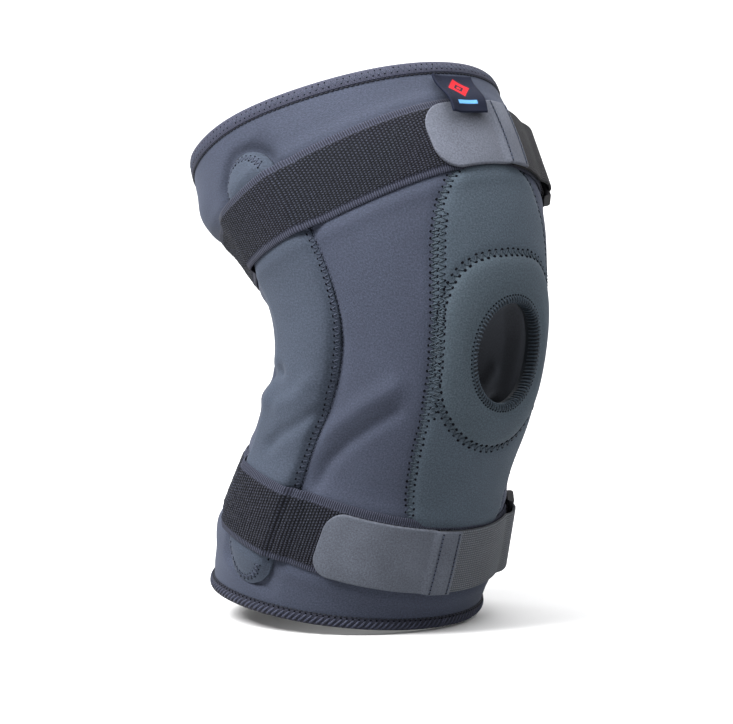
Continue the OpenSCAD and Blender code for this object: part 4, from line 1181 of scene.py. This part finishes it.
# ------------------------------------------------------------------ seams of the front panel and the pad
T, H = Threads(), Threads()
for sg in (1, -1):
    m_ = (OUT_S < 56) & (OUT_S > -90) & (OUT_F * sg > 0)
    ls, lf = OUT_S[m_], OUT_F[m_]
    order = np.argsort(-ls)
    ls, lf = ls[order], lf[order]
    zigzag(T, H, ls, lf, 3.4, 4.4, top_h, 0.42, seed=3, hole=0.82, jitter=0.16)
    wide_part = (ls < 44) & (ls > -22)
    zigzag(T, H, ls[wide_part], lf[wide_part] - sg * 2.7, 3.4, 3.4, top_h, 0.40, phase=1, seed=4, hole=0.78, jitter=0.16)
    dashes(T, ls, lf + sg * 0.25, 2.2, top_h, 0.3, 0.75)
bb3 = np.arange(160) * 2 * math.pi / 160
lf_, lt_ = pad_line(bb3, -0.2)
zigzag(T, H, s_of(lt_, lf_), lf_, 3.9, 3.5, top_h, 0.46, closed=True, seed=5, hole=0.95, jitter=0.16)
ob, w = T.make("front_seams", m_thread_front)
put(ob, weights=w, slot="overlock_thread")
ob, w = H.make("front_needle_holes", m_hole)
put(ob, weights=w, slot="overlock_thread")

# ------------------------------------------------------------------ hinge pockets
kq = np.linspace(0, 1, 230)
kq = kq + 0.035 * np.sin(2 * math.pi * kq) * -1
sk = -138.9 + (107.4 + 138.9) * np.clip(kq, 0, 1)
vq = np.linspace(-1, 1, 62)
vq = np.sin(vq * math.pi / 2) * 0.5 + 0.5
for side, sg in (("lateral", 1), ("medial", -1)):
    Sk = np.repeat(sk[:, None], len(vq), 1)
    fa, fb = pocket_edges(Sk)
    Fk = fa + (fb - fa) * vq[None]
    ek = np.clip(pocket_e(Sk, Fk), 0, None)
    ek[:, 0] = ek[:, -1] = 0
    ek[0] = ek[-1] = 0
    Ok = at(Sk, sg * Fk, pocket_h(Sk, sg * Fk, ek))
    Ik = at(Sk, sg * Fk, soft(Sk, sg * Fk) - hollow(Sk, Fk) - 1.4 + (lining(Sk, Fk) * 0.8 + hollow(Sk, Fk)) * ease((ek - 2.5) / 4))
    uvk = np.stack([Fk * (math.pi / 180 * 78), t_of(Sk, Fk)], -1)
    pk = shell(side + "_pocket_skin", Ok, Ik, [m_pocket, m_inside], uvk)
    wk = turn(Sk, Fk).ravel()
    put(pk, weights=np.concatenate([wk, wk]), nodes=[side + "_pocket_upper", side + "_pocket_knee", side + "_pocket_lower"], slot="neoprene_pocket")
    T, H = Threads(), Threads()
    # the long seam down the front edge, and the curved rows inside the two ends
    m_ = np.linspace(80, -118, 90)
    zigzag(T, H, m_, sg * (pocket_edges(m_)[0] + 0.6), 3.4, 2.5, top_h, 0.40, seed=7, hole=0.76, jitter=0.14)
    dashes(T, m_, sg * (pocket_edges(m_)[0] - 0.7), 2.3, top_h, 0.32, 0.8)
    mb = np.linspace(78, -112, 90)
    zigzag(T, H, mb, sg * (pocket_edges(mb)[1] - 0.8), 3.6, 3.6, top_h, 0.34, seed=8, hole=0.66, jitter=0.14)
    for a0, a1, c_s, r_s, r_f in ((8, 172, 88, 16.4, 10.6), (186, 354, -121, 15.4, 9.6)):
        aa = np.radians(np.linspace(a0, a1, 50))
        mid_f = float(np.mean(pocket_edges(np.array([c_s * 1.0]))))
        zigzag(T, H, c_s + r_s * np.sin(aa), sg * (mid_f + r_f * np.cos(aa)), 3.0, 2.6, top_h, 0.44, seed=9, hole=0.64)
    ob, w = T.make(side + "_pocket_seam", m_thread)
    put(ob, weights=w, slot="neoprene_pocket")
    ob, w = H.make(side + "_pocket_needle_holes", m_hole)
    put(ob, weights=w, slot="neoprene_pocket")

# ------------------------------------------------------------------ edge tapes
def tape(name, top, node):
    n = 440
    f = np.arange(n + 1) * 360.0 / n
    w = 7.6 if top else 6.6
    g, th, puff = 0.15, TAPE, (0.25 if top else 0.85)
    p = np.array([(g + 0.35, -w), (g + th + 0.15, -w + 0.5), (g + th + puff, -w / 2), (g + th + 0.15 + puff / 3, -1.5), (g + 0.55, -0.3), (-0.9, 0.35), (-NEO / 2, 0.45), (-NEO + 0.9, 0.35),
                  (-NEO - g - 0.45, -0.35), (-NEO - g - th, -1.4), (-NEO - g - th, -w + 0.4), (-NEO - g - 0.2, -w), (-NEO + 0.5, -w + 0.6), (-NEO / 2, -1.2), (-0.9, -w + 0.6)])
    sgn = 1 if top else -1
    rim_f = rim_shown if top else rim_bottom
    F = np.repeat(f[:, None], len(p), 1)
    S = rim_f(F) + sgn * p[None, :, 1]
    P = at(S, F, p[None, :, 0] - hollow(S, F) + press(S, F))
    vv = np.concatenate([[0], np.cumsum(np.hypot(np.diff(p[:, 0]), np.diff(p[:, 1])))])
    vv = np.append(vv, vv[-1] + 2)
    uv = np.stack([np.repeat(f[:, None] * 1.36, len(p) + 1, 1), np.repeat(vv[None], n + 1, 0)], -1)
    body = THIGH_BODY if top else SHANK_BODY
    put(hoop(name, P[:-1], [m_tape if top else m_tape_low], uv), body=body, nodes=[node], slot="edge_tape")

    def on_tape(s, f2):
        x = np.abs(s - rim_f(f2))
        return np.interp(x, -p[:5, 1][::-1], p[:5, 0][::-1]) - hollow(s, f2) + press(s, f2)

    def beside(s, f2):
        return sleeve_h(s, f2) + 0.15

    T, H = Threads(), Threads()
    ff = np.arange(240) * 1.5
    if top:
        zigzag(T, H, rim_f(ff) - 4.0, ff, 3.3, 2.9, on_tape, 0.26, closed=True, seed=11, hole=0.5, lift=0.14, body_w=0)
        ob, _ = T.make(name + "_stitches", m_thread)
    else:
        # close slanted overlock threads right over the tape
        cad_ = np.arange(0, 360, 2.36)
        u = np.linspace(0, 1, 8)
        Sc = rim_f(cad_)[:, None] + 0.35 + u[None] * 5.6
        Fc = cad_[:, None] - (u[None] - 0.5) * 3.0
        C, _, _, N = frames(Sc, Fc, on_tape(Sc, Fc) + 0.0 + 0.22 * np.sin(np.pi * u)[None])
        T.add(C, N, 0.55 * np.array([0.5, 0.9, 1, 1, 1, 1, 0.9, 0.5]), np.zeros(len(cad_)), flat=0.55)
        Q, A2, _, N2 = frames(rim_f(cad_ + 1.3) + 6.2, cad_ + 1.3, on_tape(rim_f(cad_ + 1.3) + 6.2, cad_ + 1.3) + 0.1)
        needle_dots(H, Q, A2, N2, np.zeros(len(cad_)), 0.6)
        ob, _ = T.make(name + "_stitches", m_tape_thread)
    put(ob, body=body, slot="edge_tape")
    ob, _ = H.make(name + "_needle_holes", m_hole)
    put(ob, body=body, slot="edge_tape")
    T = Threads()
    dashes(T, rim_f(ff) - sgn * (w + 0.25), ff, 2.7, beside, 0.4, 0.78, closed=True, w=0)
    ob, _ = T.make(name + "_edge_stitches", m_thread_dark)
    put(ob, body=body, slot="edge_tape")


tape("top_tape", True, "top_binding")
tape("bottom_tape", False, "bottom_binding")

# ------------------------------------------------------------------ straps
BAR_F, REAR_F, BAR_R, GAPX = -46.0, -54.0, 1.3, 11.0
BAR_OFF = GAP + STRAP + 0.2 + BAR_R
PER = 180 / math.pi / 81


def strap_rise(s, f):
    return ride_h(s, f) + press(s, f)


def strap_mesh(name, up, node):
    n = 1050
    f0, f1 = BAR_F + 1.5, 263.0
    f = np.linspace(f0, f1, n)
    x = np.concatenate([[-18, -17.85, -17.5], np.linspace(-16.9, -14.6, 5), np.linspace(-14.2, 14.2, 34), np.linspace(14.6, 16.9, 5), [17.5, 17.85, 18]])
    ax = np.abs(x)
    prof = np.where(ax > 14.5, 1.1, 1.6) - 0.4 * ease((ax - 16.9) / 1.1)
    prof = np.where(ax >= 18, 0.45, prof)
    F = np.repeat(f[:, None], len(x), 1)
    arc = (f - f0) * (math.pi / 180 * 84)
    wave = 0.5 + 0.5 * np.cos(arc * 2 * math.pi / 1.9)
    rg = np.random.default_rng(21 if up else 22)
    rough = rg.normal(0, 0.10, (n, len(x)))
    pile = (ax < 14.3)[None, :] * (0.28 * wave[:, None] + rough - 0.12)
    selv = (ax > 14.5)[None, :] * 0.08 * np.cos(arc * 2 * math.pi / 1.35)[:, None]
    # less stretched, so a little wider, on the outer side
    grow = look(f, [[-46, 0], [-20, 0], [0, 3.2], [68, 3.2], [95, 0], [270, 0]] if up else [[-46, 0], [-15, 0], [8, 4.2], [118, 4.2], [140, 0], [270, 0]])[:, None]
    X = x[None, :] * (1 + 0.004 * np.sin(arc / 21.0))[:, None]
    X = X + grow * ease(X / 18)
    S = across(up, F, 18.0, X / 18.0)
    rise = strap_rise(S, F)
    O = at(S, F, rise + prof[None] + pile + selv)
    xi = np.array([17.6, 12, 4, -4, -12, -17.6])
    Fi = np.repeat(f[:, None], len(xi), 1)
    Si = across(up, Fi, 18.0, (xi[None] + grow * ease(xi / 18)[None]) / 18.0)
    I = at(Si, Fi, strap_rise(Si, Fi) + 0.02)
    P = np.concatenate([O, I], 1)
    vv = np.concatenate([x, xi, x[:1]])
    uv = np.stack([np.repeat(arc[:, None], len(vv), 1), np.repeat(vv[None], n, 0)], -1)
    ob = hoop(name, P, [m_loop], uv, wrap_n=False)
    put(ob, body=THIGH_BODY if up else SHANK_BODY, nodes=[node], slot="loop_elastic")
    return ob


strap_mesh("upper_loop_strap", True, "upper_strap")
strap_mesh("lower_loop_strap", False, "lower_strap")


def unit(v):
    return v / np.linalg.norm(v)


def bar_frame(up):
    s = float(strap_s(up, BAR_F))
    o = at(s, BAR_F, BAR_OFF)
    d = unit(at(s + 5, BAR_F, BAR_OFF) - at(s - 5, BAR_F, BAR_OFF))
    v = at(float(strap_s(up, REAR_F)), REAR_F, BAR_OFF) - o
    r = unit(v - (v @ d) * d)
    return o, d, r, np.cross(r, d)


def by_bar(up, f0, f, off, h, k):
    """as in the CAD: straight along the bar beside it, on the leg's curve further off; arrays broadcast"""
    o, d, r, n = bar_frame(up)
    if f0 != BAR_F:
        o = o + GAPX * r
    f, off, k = np.broadcast_arrays(np.asarray(f, float), np.asarray(off, float), np.asarray(k, float))
    x = (f0 - f) / PER
    w = ease((np.abs(f - f0) - 3.5) / 10)[..., None]
    A = o + x[..., None] * r + (off - BAR_OFF)[..., None] * n + (k * h)[..., None] * d
    return A * (1 - w) + at(across(up, f, h, k), f, off) * w


def webbing(name, up, f0, path, thick, h, mat, body, nodes, slot, edge=0.35, nx=26, u0=0.0, grow=None, pile=0.0):
    """path is (f, off) of the inner face and (f, off) of the outer face along its length"""
    n = len(path)
    x = np.sin(np.linspace(-1, 1, nx) * math.pi / 2)
    fall = edge * (np.clip((np.abs(x) * h - (h - 1.0)) / 1.0, 0, 1)) ** 2 * thick
    Fo, Oo = np.repeat(path[:, 2:3], nx, 1), path[:, 3:4] - fall[None]
    xi = np.array([0.985, 0.5, 0.0, -0.5, -0.985])
    Fi, Oi = np.repeat(path[:, 0:1], 5, 1), np.repeat(path[:, 1:2], 5, 1)
    hw = np.full(n, 1.0) if grow is None else grow
    A = by_bar(up, f0, Fo, Oo, h, x[None] * hw[:, None])
    B = by_bar(up, f0, Fi, Oi, h, xi[None] * hw[:, None])
    P = np.concatenate([A, B], 1)
    mids = by_bar(up, f0, path[:, 2], path[:, 3], h, 0.0)
    arc = np.concatenate([[0], np.cumsum(np.linalg.norm(np.diff(mids, axis=0), axis=1))]) + u0
    vv = np.concatenate([x * h, xi * h, x[:1] * h])
    uv = np.stack([np.repeat(arc[:, None], len(vv), 1), np.repeat(vv[None], n, 0)], -1)
    ob = hoop(name, P, [mat], uv, wrap_n=False)
    put(ob, body=body, nodes=nodes, slot=slot)
    return ob


def tail_path(last):
    out = []
    for a in np.linspace(98, 0, 24):
        ra, rb = BAR_R + 0.2, BAR_R + 0.2 + STRAP
        out.append([BAR_F - ra * math.sin(math.radians(a)) * PER, BAR_OFF + ra * math.cos(math.radians(a)), BAR_F - rb * math.sin(math.radians(a)) * PER, BAR_OFF + rb * math.cos(math.radians(a))])
    d = GAP + STRAP + GAP
    for k in np.linspace(0, 1, 46)[1:]:
        f = BAR_F + (last - BAR_F) * k
        h = (BAR_OFF + BAR_R + 0.2 - d) * float(ease(1 - (f - BAR_F) / 13))
        out.append([f, d + h, f, d + h + STRAP - 0.2 * float(ease((f - BAR_F) / 8))])
    return np.array(out)


webbing("upper_tail", True, BAR_F, tail_path(-9.2), STRAP, 17.7, m_elastic_dark, "upper_strap_tail_body", ["upper_strap_tail"], "ribbed_elastic")
webbing("lower_tail", False, BAR_F, tail_path(13.8), STRAP, 17.7, m_elastic, "lower_strap_tail_body", ["lower_strap_tail"], "ribbed_elastic")


def keeper_path(end=-75.0, base=GAP, web=1.2):
    in0 = BAR_R + 0.25
    low = []
    for k in np.linspace(0, 1, 22):
        f = end + (REAR_F - end) * k
        e = float(ease((f - REAR_F + 14) / 14)) * (BAR_OFF - in0 - web - base)
        low.append([f, base + e + web, f, base + e])
    bend = []
    for a in np.linspace(185, 358, 22):
        sa, ca = math.sin(math.radians(a)), math.cos(math.radians(a))
        bend.append([REAR_F - in0 * sa * PER, BAR_OFF + in0 * ca, REAR_F - (in0 + web) * sa * PER, BAR_OFF + (in0 + web) * ca])
    high = []
    b2 = base + web + GAP
    for k in np.linspace(0, 1, 22):
        f = REAR_F + (end - REAR_F) * k
        e = float(ease((f - REAR_F + 14) / 14)) * (BAR_OFF + in0 - b2)
        high.append([f, b2 + e, f, b2 + e + web])
    return np.array(low + bend + high)


for up, word in ((True, "upper"), (False, "lower")):
    body = THIGH_BODY if up else SHANK_BODY
    kp = webbing(word + "_keeper", up, REAR_F, keeper_path(), 1.2, 17.0, m_web, body, [word + "_ring_keeper"], "webbing", nx=18)
    # anchor patch over the strap's fixed end
    n, m = 60, 40
    f = -102 + 25 * np.linspace(0, 1, n)
    x = np.sin(np.linspace(-1, 1, m) * math.pi / 2)
    F = np.repeat(f[:, None], m, 1)
    end_d = np.minimum(f + 102, -77 - f)[:, None] * 1.45
    S = across(up, F, 19.0, x[None] * (1 - 0.10 * (1 - ease(end_d / 4))))
    rd = np.minimum((1 - np.abs(x))[None] * 19, end_d)
    top = 1.2 * np.sqrt(np.clip(1 - (1 - np.clip(rd / 1.0, 0, 1)) ** 2, 0.02, 1))
    rise = ride_h(S, F) + STRAP + GAP + 0.6 * ease((F + 92) / 8)
    O, I = at(S, F, rise + top), at(S, F, rise)
    ob = shell(word + "_anchor", O, I, [m_web], np.stack([F * 1.45, np.broadcast_to(x[None] * 19, F.shape)], -1))
    put(ob, body=body, nodes=[word + "_anchor_patch"], slot="webbing")
    T = Threads()
    for k in (0.82, -0.82):
        fl = np.linspace(-99.5, -79.5, 40)
        sl = across(up, fl, 19.0, k)
        s1, f1 = resample(sl, fl, 2.4)
        P, A, B, N = frames(s1, f1, ride_h(s1, f1) + STRAP + GAP + 1.25 + 0.6 * ease((f1 + 92) / 8))
        u_ = np.linspace(0.12, 0.88, 5)
        C = P[:-1][:, None] * (1 - u_)[None, :, None] + P[1:][:, None] * u_[None, :, None]
        C = C + N[:-1][:, None] * ((np.sin(np.linspace(0, np.pi, 5))) * 0.3 - 0.1)[None, :, None]
        T.add(C, np.broadcast_to(N[:-1][:, None], C.shape), 0.3 * np.array([0.5, 1, 1, 1, 0.5]), np.zeros(len(C)))
    for fe in (-99.5, -96.5, -82.5, -79.5):
        kx = np.linspace(-0.82, 0.82, 40)
        fl = np.full(40, fe)
        sl = across(up, fl, 19.0, kx)
        s1, f1 = resample(sl, fl, 2.4)
        P, A, B, N = frames(s1, f1, ride_h(s1, f1) + STRAP + GAP + 1.25 + 0.6 * ease((f1 + 92) / 8))
        u_ = np.linspace(0.12, 0.88, 5)
        C = P[:-1][:, None] * (1 - u_)[None, :, None] + P[1:][:, None] * u_[None, :, None]
        C = C + N[:-1][:, None] * ((np.sin(np.linspace(0, np.pi, 5))) * 0.3 - 0.1)[None, :, None]
        T.add(C, np.broadcast_to(N[:-1][:, None], C.shape), 0.3 * np.array([0.5, 1, 1, 1, 0.5]), np.zeros(len(C)))
    ob, _ = T.make(word + "_anchor_stitches", m_thread)
    put(ob, body=body, slot="webbing")


# ------------------------------------------------------------------ hook tabs
def hook_tab(name, up, f0, f1, corner, mat, body, node, stitch_f, strip_f):
    n, m = 110, 44
    base = GAP + STRAP + GAP
    w = np.linspace(0, 1, n)
    f = f0 + (f1 - f0) * np.where(w < 0.7, w / 0.7 * 0.86, 0.86 + 0.14 * np.sin((w - 0.7) / 0.3 * math.pi / 2))
    mm_per = 1.45
    h = 17.8
    e = (f1 - f) * mm_per
    hw = h - np.where(e < corner, corner - np.sqrt(np.clip(corner ** 2 - (corner - e) ** 2, 0, None)), 0)
    hw = np.maximum(hw, 1.0)
    x = np.sin(np.linspace(-1, 1, m) * math.pi / 2)
    F = np.repeat(f[:, None], m, 1)
    S = across(up, F, 1.0, x[None] * hw[:, None])
    lift = base + (STRAP + GAP - 0.2) * ease((f0 + 13.5 - F) / 4)
    rd = np.minimum((1 - np.abs(x))[None] * hw[:, None], np.minimum(e[:, None] + 0.0 * x[None], (f - f0)[:, None] * mm_per + 0.35))
    top = 1.45 * (0.35 + 0.65 * np.sqrt(np.clip(1 - (1 - np.clip(rd / 0.8, 0, 1)) ** 2, 0, 1)))
    # a faint dish, and the edge strip stands a little higher
    top = top + 0.12 * np.sin(F * 0.35) * ease(rd / 6)
    top = top + 0.12 * ease((strip_f - F) / 0.8)
    O, I = at(S, F, lift + top), at(S, F, lift + 0.02)
    uv = np.stack([F * mm_per, np.broadcast_to(x[None] * hw[:, None], F.shape)], -1)
    ob = shell(name, O, I, [mat], uv)
    put(ob, body=body, nodes=[node], slot="hook_tab")
    T, H = Threads(), Threads()
    for fe in stitch_f:
        kx = np.linspace(-16.6, 16.6, 40)
        fl = np.full(40, fe)
        sl = across(up, fl, 1.0, kx)
        s1, f1_ = resample(sl, fl, 2.3)
        o = base + (STRAP + GAP - 0.2) * ease((f0 + 13.5 - f1_) / 4) + 1.47 + 0.12 * ease((strip_f - f1_) / 0.8)
        P, A, B, N = frames(s1, f1_, o + 0.14)
        u_ = np.linspace(0.16, 0.84, 5)
        C = P[:-1][:, None] * (1 - u_)[None, :, None] + P[1:][:, None] * u_[None, :, None]
        C = C + N[:-1][:, None] * ((np.sin(np.linspace(0, np.pi, 5))) * 0.24 - 0.1)[None, :, None]
        T.add(C, np.broadcast_to(N[:-1][:, None], C.shape), 0.4 * np.array([0.5, 1, 1, 1, 0.5]), np.zeros(len(C)))
        needle_dots(H, P, B, N, np.zeros(len(P)), 0.5)
    ob, _ = T.make(name + "_stitches", m_thread)
    put(ob, body=body, slot="hook_tab")
    ob, _ = H.make(name + "_needle_holes", m_hole)
    put(ob, body=body, slot="hook_tab")


hook_tab("upper_tab", True, -17, 24, 14.0, m_tab, "upper_strap_tail_body", "upper_hook_tab", (-7.2, -15.5), -7.0)
hook_tab("lower_tab", False, 4, 61, 11.0, m_tab_low, "lower_strap_tail_body", "lower_hook_tab", (13.2, 5.6), 12.8)

# ------------------------------------------------------------------ side label
LF = 1.5
s1 = float(rim_top(LF)) - TAPE_W - 1
p0 = at(s1, LF, 1.0)
al = math.radians(-float(lean(s1)))
down = np.array([0, math.sin(al), -math.cos(al)])
outw = np.array([0, -math.cos(al), -math.sin(al)])
p0 = p0 + 4.0 * down
n, m = 50, 44
A, B = np.meshgrid(np.linspace(-1, 1, n), np.linspace(0, 1, m), indexing="ij")
# it leaves the tape, lies over the strap's tab and curls at its corners
lift = 4.6 * ease((B - 0.05) / 0.7) - 0.9 * ease((B - 0.75) / 0.25)
curl = 1.2 * ease((A - 0.45) / 0.55) * ease((B - 0.2) / 0.8) - 0.5 * np.exp(-((A + 0.1) / 0.4) ** 2) * np.sin(B * math.pi) + 1.1 * ease((A - 0.55) / 0.45) * (1 - B) ** 2
halfw = 14.2 - 1.4 * B
LEN = 29.0
L3 = p0 + (A * halfw + 1.8 + 7.0 * B)[..., None] * np.array([-1.0, 0, 0]) + (B * LEN + 0.5 * A * B)[..., None] * down + (lift + curl)[..., None] * outw
edge_b = np.minimum(1, (1 - B) * LEN / 0.7)
th_ = 0.18 + 0.42 * np.sqrt(np.clip(1 - (1 - edge_b) ** 2, 0, 1))
uv = np.stack([(1 - (A * 0.5 + 0.5)) * 27.0, B * 19.0], -1)
label = shell("woven_tag", L3 + th_[..., None] * outw, L3 - th_[..., None] * outw, [m_label], uv)
put(label, body="label_body", nodes=["side_label"], slot="label_cloth")
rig.sheet(label, flat=(0.028, 0.029), held="hung", rests_on=["top_tape"])

# ------------------------------------------------------------------ CAD nodes that stay
steel = metal("cover_steel", (0.56, 0.57, 0.59), 0.36, (1, 1, 25))
alu = metal("arm_aluminium", (0.72, 0.73, 0.75), 0.42, (1, 8, 8))
riv = metal("rivet_steel", (0.66, 0.67, 0.69), 0.3, (4, 4, 4))
nylon = moulded("washer_nylon", (0.7, 0.7, 0.67), 0.5)
for name, ob in frame["nodes"].items():
    use = None
    if name.endswith("_arm"):
        use = alu
    elif name.endswith("_cover"):
        use = steel
    elif name.endswith(("_rivet", "_stop_pin")):
        use = riv
    elif name.endswith("_washer"):
        use = nylon
    elif name.endswith("_strap_ring"):
        use = m_ring
    if use:
        ob.data.materials.clear()
        ob.data.materials.append(use)
        bev = ob.modifiers.new("soft_edges", "BEVEL")
        bev.width = 0.00018
        bev.segments = 2
        bev.limit_method = "ANGLE"

# ------------------------------------------------------------------ stage, light and camera
def plain(name, col, rough):
    M = Nodes(name)
    n = M.noise(M.obj(), 3.0, 2, 0.5)
    M.link(M.mix(M.remap(n, 0.3, 0.7, 0, 1), scaled(col, 0.995), scaled(col, 1.0)), M.b.inputs["Base Color"])
    M.b.inputs["Roughness"].default_value = rough
    M.b.inputs["Specular IOR Level"].default_value = 0.1
    return M.m


lo = min(float(CAD_BOX[0][2]), -0.1)
fz = lo - 0.0012
me = bpy.data.meshes.new("floor")
R = 3.0
pts, fcs = [], []
prof_f = [(-3.0, 0.0), (1.2, 0.0), (1.45, 0.03), (1.65, 0.12), (1.8, 0.28), (1.88, 0.5), (1.9, 0.8), (1.9, 2.6)]
cam_dir = np.array([math.cos(math.radians(-42)), math.sin(math.radians(-42)), 0])
FWD = np.array([-math.sin(math.radians(-42)), math.cos(math.radians(-42)), 0])
for x in (-3.2, 3.2):
    for y, z in prof_f:
        q = cam_dir * x + FWD * y
        pts.append((q[0], q[1], fz + z))
m = len(prof_f)
fcs = [(j, j + 1, m + j + 1, m + j) for j in range(m - 1)]
me.from_pydata(pts, [], fcs)
me.materials.append(plain("floor_paper", (0.45, 0.45, 0.452), 0.9))
me.shade_smooth()
floor = bpy.data.objects.new("floor", me)
bpy.context.scene.collection.objects.link(floor)
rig.stage(floor)

world = bpy.data.worlds.new("studio")
bpy.context.scene.world = world
world.use_nodes = True
bg = world.node_tree.nodes["Background"]
bg.inputs[0].default_value = (0.97, 0.98, 1.0, 1)
bg.inputs[1].default_value = 0.42


def area(name, loc, target, size, power, col=(1, 1, 1)):
    L = bpy.data.lights.new(name, "AREA")
    L.shape = "RECTANGLE"
    L.size, L.size_y = size
    L.energy = power
    L.color = col
    o = bpy.data.objects.new(name, L)
    o.location = loc
    o.rotation_euler = (Vector(target) - Vector(loc)).to_track_quat("-Z", "Y").to_euler()
    bpy.context.scene.collection.objects.link(o)
    return o


E = math.radians(3.47)
Rv = cam_dir
Hv = FWD
Fv = Hv * math.cos(E) - np.array([0, 0, 1]) * math.sin(E)
Uv = np.array([0, 0, 1]) * math.cos(E) + Hv * math.sin(E)


def place(r, h, u):
    return tuple(Rv * r + Hv * h + np.array([0, 0, u]))


area("key", place(-0.85, -0.5, 0.9), (0, 0, 0.05), (0.6, 0.6), 62)
area("fill", place(0.95, -0.6, 0.85), (0.02, 0, 0.0), (0.9, 0.9), 12)
area("top", place(-0.05, -0.3, 0.8), (0, 0, 0.05), (0.7, 0.7), 13)
area("backdrop", place(0, 0.7, 1.7), place(0, 1.9, 0.5), (2.6, 0.8), 110)

cam = bpy.data.cameras.new("camera")
cam.lens = 118.2
cam.sensor_width = 36
cam.sensor_fit = "HORIZONTAL"
camera = bpy.data.objects.new("camera", cam)
bpy.context.scene.collection.objects.link(camera)
loc = -Fv * 1.2889 - Rv * 0.02265 - Uv * 0.0137
camera.matrix_world = Matrix(((Rv[0], Uv[0], -Fv[0], loc[0]), (Rv[1], Uv[1], -Fv[1], loc[1]), (Rv[2], Uv[2], -Fv[2], loc[2]), (0, 0, 0, 1)))
bpy.context.scene.camera = camera
bpy.context.scene.view_settings.view_transform = "Standard"
bpy.context.scene.view_settings.look = "None"

a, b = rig.bounds()
json.dump({"cad": [[float(x) for x in CAD_BOX[0]], [float(x) for x in CAD_BOX[1]]], "visual": [[float(x) for x in a], [float(x) for x in b]]}, open("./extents.json", "w"))
